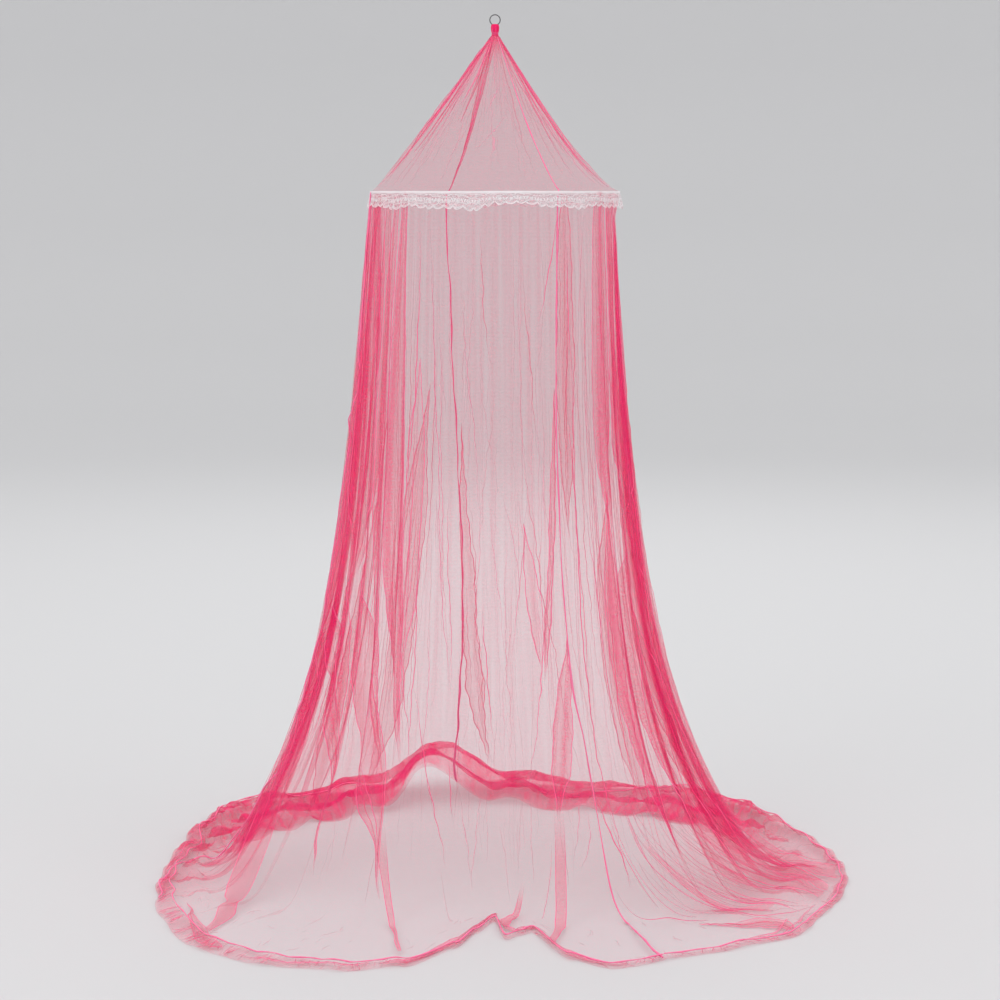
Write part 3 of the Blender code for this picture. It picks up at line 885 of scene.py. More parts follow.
# The studio's floor lies this far under the net, so that no face of one lies in the other
STUDIO_DROP = 0.0005
STUDIO_LIGHTS = (
    # name, place, size, power
    ("key light", (-4.5, -5.5, 3.4), 4.0, 130.0),
    ("fill light", (5.5, -4.0, 2.6), 4.0, 70.0),
    ("back light", (0.6, 6.0, 3.4), 4.0, 70.0),
)
SKY_STRENGTH = 1.10

# Up to this many layers of net show through one another
NET_LAYERS = 32

# The photograph's camera: its place and its height above the floor in metres, how far it is turned
# down in degrees, and its lens and film in millimetres
CAMERA_X, CAMERA_Y, CAMERA_HEIGHT = 0.012, -6.0, 1.70
CAMERA_DOWN = 7.165
CAMERA_LENS = 87.9
CAMERA_FILM = 36.0


class CANOPY_OT_stage(bpy.types.Operator):
    """Add the floor, the soft studio light and the camera"""

    bl_idname = "canopy.stage"
    bl_label = "Stage"

    def execute(self, context):
        self.add_floor(context)
        self.add_lights(context)
        self.add_camera(context)
        context.scene.view_settings.view_transform = "Standard"
        context.scene.cycles.transparent_max_bounces = NET_LAYERS
        return {"FINISHED"}

    def add_floor(self, context):
        deselect()
        bpy.ops.mesh.primitive_circle_add(
            vertices=160, radius=STUDIO_WALL[0][0], fill_type="NGON",
            location=(0.0, 0.0, FLOOR - STUDIO_DROP),
        )
        floor = context.object
        floor.name = floor.data.name = "studio_floor"
        bpy.ops.object.mode_set(mode="EDIT")
        bpy.ops.mesh.select_all(action="SELECT")
        for (radius, height), (next_radius, next_height) in zip(STUDIO_WALL, STUDIO_WALL[1:]):
            bpy.ops.mesh.region_to_loop()
            bpy.ops.mesh.extrude_edges_move()
            grow = next_radius / radius
            bpy.ops.transform.resize(value=(grow, grow, 1.0))
            bpy.ops.transform.translate(value=(0.0, 0.0, next_height - height))
        bpy.ops.mesh.select_all(action="SELECT")
        bpy.ops.mesh.normals_make_consistent(inside=True)
        bpy.ops.object.mode_set(mode="OBJECT")
        floor.data.shade_smooth()
        material, _, shader = new_material("studio_floor")
        shader.inputs["Base Color"].default_value = (*context.scene.canopy_colours.floor, 1.0)
        shader.inputs["Roughness"].default_value = 0.9
        shader.inputs["Specular IOR Level"].default_value = 0.1
        floor.data.materials.append(material)

    def add_lights(self, context):
        for name, place, size, power in STUDIO_LIGHTS:
            bpy.ops.object.light_add(type="AREA", location=place)
            light = context.object
            light.name = name
            light.data.size = size
            light.data.energy = power
            # it faces the middle of the canopy's height
            aim = -np.array(place) + np.array((0.0, 0.0, FLOOR / 2))
            light.rotation_euler = (
                math.atan2(math.hypot(aim[0], aim[1]), -aim[2]),
                0.0,
                math.atan2(-aim[0], aim[1]),
            )
        world = bpy.data.worlds.new("studio")
        world.use_nodes = True
        sky = world.node_tree.nodes["Background"]
        sky.inputs["Color"].default_value = (1.0, 1.0, 1.0, 1.0)
        sky.inputs["Strength"].default_value = SKY_STRENGTH
        context.scene.world = world

    def add_camera(self, context):
        bpy.ops.object.camera_add(
            location=(CAMERA_X, CAMERA_Y, FLOOR + CAMERA_HEIGHT),
            rotation=(math.radians(90.0 - CAMERA_DOWN), 0.0, 0.0),
        )
        camera = context.object
        camera.name = "photo camera"
        camera.data.lens = CAMERA_LENS
        camera.data.sensor_width = CAMERA_FILM
        context.scene.camera = camera


def bent_wire(name, radius, wire, centre, axis, start, gap, steps, sides):
    """A length of round wire bent into a circle about an axis, its rounded ends a gap apart."""
    deselect()
    axis, start = np.array(axis, float), np.array(start, float)
    heading = np.cross(axis, start)
    bpy.ops.mesh.primitive_circle_add(
        vertices=sides, radius=wire, fill_type="NGON", location=np.array(centre) + radius * start,
        rotation=Vector(heading).to_track_quat("Z", "Y").to_euler(),
    )
    piece = bpy.context.object
    piece.name = piece.data.name = name
    bpy.ops.object.transform_apply(location=True, rotation=True, scale=True)
    bpy.ops.object.mode_set(mode="EDIT")
    bpy.ops.mesh.select_all(action="SELECT")
    bpy.ops.mesh.spin(steps=steps, angle=2.0 * math.pi - gap / radius, center=centre, axis=axis)
    bpy.ops.mesh.select_all(action="SELECT")
    bpy.ops.mesh.normals_make_consistent(inside=False)
    bpy.ops.object.mode_set(mode="OBJECT")
    ends = piece.modifiers.new("rounded ends", "BEVEL")
    ends.width = wire * 0.4
    ends.segments = 3
    ends.angle_limit = math.radians(60.0)
    bpy.ops.object.modifier_apply(modifier=ends.name)
    bpy.ops.object.shade_smooth_by_angle(angle=math.radians(50.0))
    return piece


# How far round from the ring's top its ends meet, in degrees
RING_JOINT = 35.0


class CANOPY_OT_ring(bpy.types.Operator):
    """Add the bent wire ring that the canopy hangs by"""

    bl_idname = "canopy.ring"
    bl_label = "Ring"

    def execute(self, context):
        joint = math.radians(RING_JOINT)
        ring = bent_wire(
            "wire_ring", RING_RADIUS, RING_WIRE, centre=(0.0, 0.0, RING_HEIGHT + FLOOR),
            axis=(0.0, 1.0, 0.0), start=(math.sin(joint), 0.0, math.cos(joint)),
            gap=0.0004, steps=96, sides=18,
        )
        ring.data.materials.append(
            add_material("bent_steel_wire", steel_material, context.scene.canopy_colours.steel)
        )
        finish_piece(ring, "ring_steel", "top_ring")
        return {"FINISHED"}


class CANOPY_OT_hoop(bpy.types.Operator):
    """Add the stiff hoop that spreads the net, a rod bent round with its ends butted"""

    bl_idname = "canopy.hoop"
    bl_label = "Hoop"

    def execute(self, context):
        hoop = bent_wire(
            "hoop_rod", HOOP_RADIUS, HOOP_ROD, centre=(0.0, 0.0, HOOP_HEIGHT + FLOOR),
            axis=(0.0, 0.0, 1.0), start=(0.0, 1.0, 0.0), gap=0.0008, steps=240, sides=12,
        )
        hoop.data.materials.append(
            add_material("white_rod", hoop_material, context.scene.canopy_colours.hoop)
        )
        finish_piece(hoop, "hoop_plastic", "hoop")
        return {"FINISHED"}


# Folds of the roof. Those as wide as WIDE_PLEAT at the high end are flat, with two crisp edges.
ROOF_CREASES = (
    # azimuth at the low end, at the high end, low level, high level, width low, width high, cover
    (203, 200, 0.00, 1.00, 0.0050, 0.0260, 0.66),
    (212, 208, 0.45, 1.00, 0.0030, 0.0120, 0.45),
    (282, 282, 0.02, 1.00, 0.0036, 0.0060, 0.90),
    (276, 278, 0.10, 1.00, 0.0024, 0.0050, 0.62),
    (268, 272, 0.30, 1.00, 0.0024, 0.0080, 0.60),
    (293, 300, 0.36, 0.98, 0.0020, 0.0040, 0.62),
    (298, 306, 0.44, 0.97, 0.0020, 0.0040, 0.60),
    (304, 312, 0.40, 1.00, 0.0020, 0.0040, 0.66),
    (309, 318, 0.50, 0.98, 0.0018, 0.0036, 0.58),
    (314, 324, 0.46, 0.96, 0.0018, 0.0036, 0.55),
    (322, 332, 0.55, 1.00, 0.0018, 0.0100, 0.48),
    (288, 292, 0.55, 1.00, 0.0018, 0.0090, 0.52),
    (40, 34, 0.62, 1.00, 0.0020, 0.0040, 0.62),
    (48, 38, 0.24, 0.86, 0.0022, 0.0040, 0.62),
    (56, 44, 0.20, 0.70, 0.0018, 0.0030, 0.50),
    (60, 50, 0.04, 1.00, 0.0026, 0.0050, 0.80),
    (66, 58, 0.02, 1.00, 0.0022, 0.0044, 0.75),
    (70, 64, 0.06, 0.90, 0.0020, 0.0040, 0.66),
    (75, 68, 0.02, 1.00, 0.0026, 0.0120, 0.60),
    (83, 78, 0.02, 1.00, 0.0040, 0.0060, 0.90),
    (94, 94, 0.05, 1.00, 0.0030, 0.0060, 0.62),
    (112, 108, 0.20, 1.00, 0.0024, 0.0050, 0.55),
    (130, 126, 0.10, 1.00, 0.0024, 0.0060, 0.58),
    (146, 142, 0.35, 1.00, 0.0020, 0.0050, 0.50),
    (156, 160, 0.10, 1.00, 0.0024, 0.0060, 0.50),
    (178, 176, 0.50, 1.00, 0.0020, 0.0050, 0.40),
    (238, 236, 0.05, 1.00, 0.0024, 0.0060, 0.62),
    (248, 244, 0.25, 1.00, 0.0020, 0.0100, 0.50),
    (256, 254, 0.05, 1.00, 0.0024, 0.0060, 0.62),
    (352, 8, 0.48, 0.72, 0.0026, 0.0020, 0.50),
    (346, 14, 0.24, 0.52, 0.0024, 0.0018, 0.45),
    (336, 344, 0.30, 0.62, 0.0018, 0.0018, 0.34),
    (18, 12, 0.30, 0.80, 0.0018, 0.0018, 0.34),
)
WIDE_PLEAT = 0.008

# How many fine streaks the cone has, and how many strands of net lie over the neck
ROOF_STREAKS = 70
NECK_STRANDS = 36


class CANOPY_OT_roof(bpy.types.Operator):
    """Add the gathered net roof, from the hoop up to the neck over the ring"""

    bl_idname = "canopy.roof"
    bl_label = "Roof"

    def execute(self, context):
        levels = stepped((-1.0, 0.0, 5), (0.0, 1.0, 60), (1.0, 2.0, 30))
        place, level = np.meshgrid(np.linspace(0.0, ROOF_PLEATS, ROOF_PLEATS * 22 + 1), levels)
        points = roof_surface(place, level)
        points[:, -1] = points[:, 0]
        # denser at the sides, where the pleats crowd, and drawn together towards the neck
        sides = np.abs(np.sin(np.radians(pleat_azimuth(place))))
        cover = NET_COVER + 0.10 * sides * smooth(0.1, 0.9, level)
        cover += (NECK_COVER - 0.40) * smooth(0.66, 1.06, level) ** 3
        cover = np.where(level > 1.1, NECK_COVER, np.minimum(cover, NECK_COVER))
        cloth = Cloth()
        cloth.add(points, cover, flip=True)
        self.add_creases(cloth)
        roof = cloth.build("roof_cone", the_net(context))
        finish_piece(roof, "net", "roof_net")
        return {"FINISHED"}

    def add_creases(self, cloth):
        rng = np.random.default_rng(7)
        for row in (*ROOF_CREASES, *self.random_creases(rng)):
            low, high, start, end, low_width, high_width, cover = row
            steps = np.linspace(0.0, 1.0, 60)
            level = start + (end - start) * steps
            turn = (high - low + 180.0) % 360.0 - 180.0
            crooked = 0.9 * np.sin(9.0 * level + low) + 0.5 * np.sin(31.0 * level + 2.0 * low)
            crooked += 0.25 * np.sin(83.0 * level + low)
            # a flat fold wanders less
            wander = 0.35 if high_width > WIDE_PLEAT else 1.0
            place = pleat_at(low + turn * steps + crooked * wander)
            taper = np.sin(np.pi * np.clip(steps, 0.01, 0.97)) ** 0.35
            width = (low_width + (high_width - low_width) * steps**2) * taper
            # the strands over the neck lie close, some of them in the light
            rise, bright = (0.0003, rng.uniform(0.0, 1.0)) if start > 0.9 else (0.0012, 0.6)
            add_strip(cloth, roof_surface, (place, level), width, rise, cover * taper, bright)
            if high_width < WIDE_PLEAT:
                continue
            slope = np.linalg.norm(surface_frame(roof_surface, place, level)[1], axis=-1)
            for side in (-0.5, 0.5):
                edge = place + side * width / np.maximum(slope, 1e-3)
                # the crisp edges get a painted highlight
                add_strip(
                    cloth, roof_surface, (edge, level), 0.0020, 0.0012, 0.85 * taper, 0.8, gap=0.0010
                )

    def random_creases(self, rng):
        """Rows for fine streaks in the cone and for strands over the neck."""
        rows = []
        for _ in range(ROOF_STREAKS):
            azimuth, start = rng.uniform(0, 360), rng.uniform(0.02, 0.7)
            length, size = rng.uniform(0.2, 0.7), rng.uniform(0.0012, 0.0020)
            cover = rng.uniform(0.25, 0.50)
            rows.append((azimuth, azimuth, start, min(start + length, 1.0), size, size, cover))
        for _ in range(NECK_STRANDS):
            azimuth, start = rng.uniform(0, 360), rng.uniform(0.92, 1.1)
            length, size = rng.uniform(0.3, 0.9), rng.uniform(0.0009, 0.0022)
            rows.append((azimuth, azimuth, start, min(start + length, 1.96), size, size, 0.95))
        return rows


class CANOPY_OT_binding(bpy.types.Operator):
    """Add the thread wound round the neck under the ring"""

    bl_idname = "canopy.binding"
    bl_label = "Neck binding"

    def execute(self, context):
        sizes = context.scene.canopy_sizes
        turns = sizes.binding_turns
        steps = np.linspace(0.0, 1.0, turns * 28)
        angle = 2.0 * np.pi * turns * steps
        height = WAIST_HEIGHT + sizes.binding_thread * 2.1 * turns * (steps - 0.5)
        width, depth = (size + sizes.binding_thread * 1.6 for size in neck_at(height))
        centre = np.stack([width * np.cos(angle), depth * np.sin(angle), height + FLOOR], axis=-1)
        cloth = Cloth()
        # the thread gets half the painted highlight
        add_tube(cloth, centre, sizes.binding_thread, ROLL_COVER, bright=0.5)
        binding = cloth.build("neck_binding", the_net(context))
        finish_piece(binding, "net")
        return {"FINISHED"}


# Folds that lie flat on the rest of the skirt, seen as denser bands with crisp edges. Each edge
# has its place at the band's start, middle and end.
SKIRT_BANDS = (
    # start, end, left edge at the start, middle, end, right edge at the start, middle, end, cover
    (0.00, 0.54, 23.4, 23.9, 23.7, 25.1, 25.9, 26.3, 0.46),
    (0.00, 0.28, 24.2, 25.1, 25.6, 25.7, 26.1, 26.0, 0.50),
    (0.00, 0.80, 26.8, 26.1, 27.5, 27.1, 26.8, 27.6, 0.52),
    (0.00, 0.78, 27.3, 26.9, 28.1, 27.5, 27.8, 28.3, 0.56),
    (0.50, 0.94, 25.3, 26.3, 28.0, 26.0, 27.3, 28.2, 0.42),
    (0.54, 0.92, 22.6, 25.0, 26.1, 24.3, 25.4, 26.2, 0.50),
    (0.52, 0.74, 24.3, 24.9, 25.3, 25.0, 25.3, 25.4, 0.48),
    (0.58, 0.90, 22.0, 22.9, 22.8, 22.7, 23.5, 23.8, 0.48),
    (0.22, 0.64, 28.1, 27.9, 27.8, 28.6, 28.5, 28.3, 0.18),
    (0.26, 0.66, 32.52, 32.40, 32.02, 32.72, 32.58, 32.18, 0.44),
    (0.31, 0.58, 32.74, 32.70, 32.70, 32.86, 32.94, 32.96, 0.38),
    (0.59, 0.84, 32.84, 32.42, 32.22, 32.90, 32.86, 32.50, 0.48),
    (1.57, 1.97, 24.1, 25.2, 25.95, 24.3, 25.9, 26.25, 0.40),
    (0.44, 0.64, 31.52, 31.66, 31.94, 31.62, 32.02, 32.16, 0.24),
    (0.00, 0.46, 3.90, 3.52, 3.60, 4.80, 4.75, 4.30, 0.58),
    (0.42, 0.92, 3.62, 3.68, 4.20, 4.30, 4.40, 4.70, 0.56),
    (0.00, 0.47, 5.10, 4.90, 4.60, 6.20, 7.00, 7.70, 0.42),
    (0.40, 0.95, 4.60, 4.50, 5.90, 7.70, 6.80, 8.10, 0.46),
    (0.55, 0.97, 5.20, 5.60, 6.60, 5.80, 6.40, 7.70, 0.42),
    (0.60, 0.98, 4.70, 4.90, 5.60, 5.30, 5.60, 6.50, 0.40),
    (1.28, 1.94, 3.30, 3.75, 3.72, 3.42, 4.12, 3.88, 0.40),
    (0.34, 0.90, 15.68, 15.44, 15.10, 15.74, 15.64, 15.30, 0.34),
    (0.28, 0.94, 16.30, 16.60, 16.90, 16.70, 17.30, 17.30, 0.30),
    (0.00, 0.62, 9.10, 9.00, 9.30, 9.80, 10.1, 9.90, 0.50),
    (0.00, 0.92, 10.3, 10.7, 10.4, 11.0, 11.3, 11.4, 0.45),
    (0.43, 0.98, 11.9, 12.2, 12.5, 12.2, 12.9, 12.9, 0.38),
    (0.00, 0.52, 13.2, 13.1, 13.4, 13.4, 13.6, 13.5, 0.35),
    (0.60, 0.98, 8.90, 9.40, 9.60, 9.50, 10.0, 10.4, 0.40),
    (0.00, 0.57, 18.6, 18.4, 18.9, 18.9, 19.1, 19.2, 0.40),
    (0.33, 0.97, 17.8, 18.2, 18.3, 18.1, 18.9, 18.6, 0.38),
    (0.00, 0.87, 19.7, 20.0, 19.6, 20.5, 20.7, 20.8, 0.48),
    (0.00, 0.72, 21.2, 21.4, 21.8, 22.1, 22.2, 22.2, 0.48),
    (0.62, 0.98, 20.9, 21.1, 21.2, 21.5, 21.8, 21.8, 0.42),
)

# Flat folds that cross from the hanging part on to the floor: the place of each edge at seven ways
TRAIN_WAYS = (0.78, 0.86, 0.90, 0.94, 0.97, 1.3, 1.85)
TRAIN_BANDS = (
    # places of the left edge, places of the right edge, start, end, cover
    ((21.8, 22.0, 22.3, 23.2, 24.0, 25.0, 25.65),
     (23.1, 24.0, 24.2, 24.4, 24.9, 25.3, 25.75), 0.80, 1.75, 0.46),
    ((32.3, 32.2, 32.3, 32.26, 32.1, 32.0, 31.92),
     (32.5, 32.5, 32.5, 32.4, 32.3, 32.06, 31.96), 0.79, 1.9, 0.5),
    ((27.0, 27.4, 28.0, 28.2, 28.3, 28.74, 29.08),
     (27.9, 27.9, 28.1, 28.3, 28.4, 28.8, 29.12), 0.82, 1.75, 0.48),
    ((31.5, 31.5, 31.5, 31.5, 31.2, 30.9, 30.7),
     (31.6, 31.6, 31.6, 31.6, 31.4, 31.1, 30.9), 0.91, 1.60, 0.56),
    ((4.2, 4.2, 4.5, 5.7, 6.6, 6.6, 5.5),
     (4.7, 4.8, 5.2, 6.4, 7.2, 7.1, 5.8), 0.80, 1.80, 0.36),
    ((5.3, 5.6, 6.1, 7.0, 7.6, 7.2, 6.0),
     (5.8, 6.2, 6.9, 7.8, 8.3, 7.8, 6.3), 0.80, 1.84, 0.40),
    ((6.4, 6.7, 7.2, 7.8, 8.1, 7.9, 6.9),
     (7.6, 7.6, 8.2, 8.8, 9.1, 8.9, 7.8), 0.80, 1.90, 0.38),
    ((3.0, 3.1, 3.4, 3.8, 4.2, 4.7, 4.4),
     (3.1, 3.2, 3.5, 3.95, 4.45, 5.0, 4.6), 0.84, 1.40, 0.34),
)

# Those that start before this place are in the sweep at the right. They run askew of the skirt's own
# folds, so they are eased more, each over this many rows on both sides.
SWEEP_FOLDS_END = 15.0
SWEEP_EASE, FOLD_EASE = 20, 9

# The crisp edges of a flat fold: their width, its least, and their cover
EDGE_WIDTH, EDGE_LEAST, EDGE_COVER = 0.0019, 0.0003, 0.86

# Long folds that sweep out to the right over the floor, each row its places at the same ways
SWEEPS = (
    (2.55, 2.70, 2.80, 3.00, 3.30, 3.80, 4.00),
    (3.10, 3.25, 3.50, 3.95, 4.40, 4.80, 4.60),
    (3.80, 3.95, 4.20, 4.90, 5.90, 6.00, 5.10),
    (4.58, 4.58, 4.90, 6.20, 6.90, 6.90, 5.70),
    (5.64, 5.90, 6.60, 7.60, 8.20, 7.70, 6.40),
    (7.00, 7.20, 7.60, 8.00, 8.30, 8.20, 7.20),
    (8.36, 8.14, 8.20, 8.60, 9.00, 9.00, 8.30),
)
SWEEP_LINES = 64

# Sharp creases, each with its place at its start, middle and end
SKIRT_CREASES = (
    # start, end, place at the start, middle, end, width, cover
    (0.02, 0.34, 25.3, 25.95, 25.9, 0.0022, 0.70),
    (0.05, 0.45, 28.3, 28.25, 27.9, 0.0024, 0.75),
    (0.05, 0.62, 28.8, 29.08, 29.3, 0.0020, 0.55),
    (0.13, 0.68, 29.1, 29.25, 29.5, 0.0018, 0.55),
    (0.13, 0.45, 29.8, 30.15, 30.35, 0.0018, 0.48),
    (0.05, 0.45, 31.5, 31.46, 31.76, 0.0016, 0.38),
    (0.12, 0.62, 31.76, 31.86, 32.0, 0.0016, 0.42),
    (0.03, 0.17, 32.78, 32.5, 32.1, 0.0024, 0.75),
    (0.07, 0.24, 2.18, 2.22, 2.30, 0.0024, 0.65),
    (0.22, 0.93, 2.35, 2.50, 2.80, 0.0030, 0.85),
    (0.28, 0.72, 2.05, 2.50, 2.55, 0.0022, 0.68),
    (0.03, 0.24, 3.20, 2.80, 2.70, 0.0018, 0.40),
    (0.40, 0.84, 2.80, 3.20, 3.60, 0.0022, 0.62),
    (0.40, 0.82, 28.5, 28.35, 28.3, 0.0024, 0.68),
    (0.40, 0.62, 28.4, 28.2, 28.1, 0.0020, 0.60),
    (0.40, 0.67, 29.4, 29.5, 29.6, 0.0022, 0.62),
    (0.40, 0.68, 29.1, 29.25, 29.5, 0.0020, 0.55),
    (0.40, 0.63, 30.5, 30.75, 31.0, 0.0018, 0.45),
    (0.55, 0.74, 30.4, 30.5, 30.7, 0.0026, 0.72),
    (0.40, 0.56, 30.9, 31.28, 31.45, 0.0018, 0.48),
    (0.40, 0.50, 31.3, 31.5, 31.65, 0.0016, 0.48),
    (0.40, 0.63, 31.74, 31.5, 31.15, 0.0020, 0.58),
    (0.50, 0.80, 32.2, 32.03, 31.7, 0.0022, 0.62),
    (0.42, 0.61, 32.38, 32.4, 32.05, 0.0020, 0.58),
    (0.74, 0.90, 28.85, 29.15, 29.45, 0.0022, 0.66),
    (0.66, 0.83, 28.35, 28.8, 29.2, 0.0020, 0.62),
    (0.58, 0.76, 28.97, 28.95, 28.85, 0.0018, 0.52),
    (0.58, 0.75, 28.1, 28.16, 28.35, 0.0022, 0.62),
    (0.40, 0.70, 27.2, 27.35, 27.42, 0.0022, 0.62),
    (0.76, 0.84, 29.55, 29.6, 29.67, 0.0024, 0.70),
    (0.80, 0.91, 29.8, 30.0, 30.08, 0.0018, 0.48),
    (0.80, 0.93, 30.35, 30.22, 30.18, 0.0018, 0.48),
    (0.85, 0.95, 30.9, 30.98, 31.08, 0.0015, 0.42),
    (0.80, 0.92, 31.7, 31.73, 31.8, 0.0016, 0.42),
    (0.86, 1.02, 32.20, 32.05, 31.9, 0.0022, 0.52),
    (0.78, 0.89, 32.96, 32.84, 32.68, 0.0020, 0.52),
    (0.83, 0.90, 32.98, 32.9, 32.74, 0.0020, 0.52),
    (0.89, 0.95, 27.64, 27.55, 27.58, 0.0018, 0.42),
    (0.90, 1.06, 29.40, 29.6, 29.80, 0.0016, 0.40),
    (0.80, 0.93, 2.34, 2.65, 2.76, 0.0030, 0.80),
    (0.83, 0.97, 2.68, 2.90, 3.28, 0.0020, 0.62),
    (0.92, 1.26, 2.46, 3.00, 3.60, 0.0026, 0.64),
    (0.79, 0.97, 2.86, 3.30, 3.80, 0.0020, 0.58),
    (0.85, 1.13, 3.84, 4.40, 4.60, 0.0020, 0.52),
    (0.97, 1.85, 3.78, 4.30, 5.00, 0.0026, 0.58),
    (0.45, 0.85, 15.54, 15.4, 15.2, 0.0022, 0.62),
    (0.10, 0.60, 16.5, 16.3, 16.4, 0.0020, 0.55),
    (0.30, 0.90, 14.6, 14.2, 13.9, 0.0022, 0.58),
    (0.02, 0.50, 17.5, 17.7, 17.4, 0.0020, 0.55),
)

# Families of finer creases, drawn at random between these limits
CREASE_FAMILIES = (
    # first place, last, number, start from, to, length from, to, lowest way, drift, width, cover
    (3.4, 8.8, 90, 0.00, 0.66, 0.15, 0.55, 0.97, 0.35, 0.0017, 0.62),
    (9.0, 15.5, 70, 0.00, 0.70, 0.15, 0.60, 1.00, 0.35, 0.0017, 0.52),
    (16.5, 22.0, 70, 0.00, 0.70, 0.15, 0.60, 1.00, 0.35, 0.0017, 0.52),
    (22.0, 25.4, 60, 0.00, 0.62, 0.15, 0.50, 0.88, 0.35, 0.0017, 0.62),
    (25.4, 28.2, 40, 0.00, 0.60, 0.15, 0.50, 0.80, 0.35, 0.0016, 0.60),
    (28.2, 32.8, 56, 0.02, 0.70, 0.08, 0.34, 0.86, 0.20, 0.0014, 0.42),
    (2.1, 3.6, 24, 0.02, 0.72, 0.08, 0.34, 0.90, 0.20, 0.0014, 0.42),
    (15.0, 16.6, 10, 0.05, 0.70, 0.10, 0.30, 0.95, 0.20, 0.0014, 0.38),
    (21.0, 23.4, 26, 0.60, 0.86, 0.12, 0.40, 1.20, 0.60, 0.0017, 0.60),
    (2.2, 5.0, 18, 0.93, 1.50, 0.06, 0.25, 1.97, 0.20, 0.0014, 0.36),
    (9.0, 15.8, 60, 0.93, 1.60, 0.15, 0.40, 1.97, 0.50, 0.0020, 0.50),
    (16.2, 23.0, 60, 0.93, 1.60, 0.15, 0.40, 1.97, 0.50, 0.0020, 0.50),
    (23.5, 32.8, 56, 1.04, 1.75, 0.04, 0.16, 1.97, 0.20, 0.0013, 0.34),
    (26.0, 32.8, 22, 0.78, 0.86, 0.05, 0.10, 0.93, 0.12, 0.0013, 0.40),
)

# Folds that run along the hem, most of them by its notch at the front
HEM_FOLDS = (
    # first place, last place, way at the first, way at the last, width, cover
    (28.7, 30.45, 1.93, 1.80, 0.030, 0.60),
    (29.3, 30.60, 1.88, 1.55, 0.022, 0.55),
    (30.0, 30.72, 1.80, 1.25, 0.024, 0.60),
    (30.3, 30.80, 1.60, 1.08, 0.016, 0.60),
    (30.70, 30.95, 1.20, 1.95, 0.020, 0.60),
    (30.80, 31.35, 1.45, 1.80, 0.018, 0.55),
    (31.2, 31.9, 1.70, 1.60, 0.022, 0.60),
    (31.6, 32.25, 1.55, 1.90, 0.024, 0.60),
    (31.9, 32.6, 1.86, 1.92, 0.026, 0.45),
    (26.6, 28.6, 1.94, 1.88, 0.010, 0.38),
    (22.0, 23.6, 1.75, 1.92, 0.016, 0.42),
    (20.2, 21.9, 1.60, 1.80, 0.020, 0.42),
    (18.9, 20.8, 1.80, 1.55, 0.018, 0.40),
    (3.4, 5.2, 1.90, 1.80, 0.008, 0.38),
    (3.0, 4.4, 1.92, 1.70, 0.012, 0.38),
    (5.6, 7.4, 1.86, 1.92, 0.012, 0.42),
    (7.6, 9.4, 1.88, 1.78, 0.012, 0.42),
)
HEM_PUCKERS = 420

# The net low at the front, made nearly clear as painted shade, in places: its middle, half its width
# and half its soft edge's
PAINTED_SHADE_MIDDLE, PAINTED_SHADE_HALF, PAINTED_SHADE_EDGE = 29.05, 5.6, 0.7


def three_points(first, middle, last, share):
    """A smooth curve through three values, at shares of the way from the first to the last."""
    return (
        first * (1.0 - share) * (1.0 - 2.0 * share)
        + middle * 4.0 * share * (1.0 - share)
        + last * share * (2.0 * share - 1.0)
    )


def quiver(way, seed):
    """The crooked sideways wander of a crease in soft net."""
    slow = 0.030 * np.sin(9.0 * way + 2.1 * seed) + 0.018 * np.sin(37.0 * way + 3.7 * seed)
    quick = 0.013 * np.sin(101.0 * way + 5.3 * seed) + 0.009 * np.sin(223.0 * way + 1.9 * seed)
    return slow + quick * (1.0 - 0.75 * smooth(0.85, 1.0, way))


def tapered(share, power=0.4):
    """1 along most of a crease, easing off to a point at both ends."""
    return np.sin(np.pi * np.clip(share, 0.002, 0.998)) ** power


def flowing(way, places):
    """Places along a fold of the train, eased through the table's columns."""
    fine = np.linspace(TRAIN_WAYS[0] - 0.1, TRAIN_WAYS[-1] + 0.1, 400)
    return np.interp(way, fine, calmed(np.interp(fine, TRAIN_WAYS, places), 7))


def net_cover(place, way):
    """The skirt's cover: denser where it is gathered, heaped or turned, thinned low at the front as
    painted shade.
    """
    sway = 0.25 * np.sin(6.0 * way + 0.8 * place)
    streaks = np.cos(2.0 * np.pi * (2.7 * place + sway)) + np.cos(2.0 * np.pi * (5.3 * place - sway))
    streaks += 0.8 * np.cos(2.0 * np.pi * (8.9 * place + 2.0 * sway))
    cover = NET_COVER * (1.0 + 0.16 * streaks * (1.0 - smooth(0.75, 0.9, way)))

    # painted shade: low down at the front the net is made nearly clear, standing in for the shade
    # that falls there
    painted_shade = (place - PAINTED_SHADE_MIDDLE + FULL_TURN / 2) % FULL_TURN - FULL_TURN / 2
    painted_shade = 1.0 - smooth(PAINTED_SHADE_HALF - PAINTED_SHADE_EDGE, PAINTED_SHADE_HALF + PAINTED_SHADE_EDGE, np.abs(painted_shade))
    cover *= 1.0 - 0.50 * painted_shade * smooth(0.80, 0.92, way)

    hanging = 1.0 - smooth(0.9, 1.2, way)
    # the gathered net there is thinned too, as painted shade
    drawn_in = gathering(place) * hanging * (1.0 - painted_shade * smooth(0.76, 0.90, way))
    cover += GATHER_COVER * drawn_in * (0.55 + 0.20 * streaks)

    piled = heap_share(place) * smooth(0.97, 1.06, way) * (1.0 - smooth(1.96, 2.0, way))
    patches = np.sin(1.9 * place + 2.0 * np.sin(1.1 * place)) * np.cos(3.0 * way + 0.8 * place)
    cover += HEAP_COVER * piled * (0.95 + 0.15 * streaks + 0.30 * patches)

    uneven = np.sin(7.0 * place + 2.0 * np.sin(3.1 * place)) * np.sin(2.3 * place + 1.0)
    cover += (0.09 + 0.07 * uneven) * smooth(1.98, 2.02, way)
    return np.clip(cover, 0.05, 0.9)


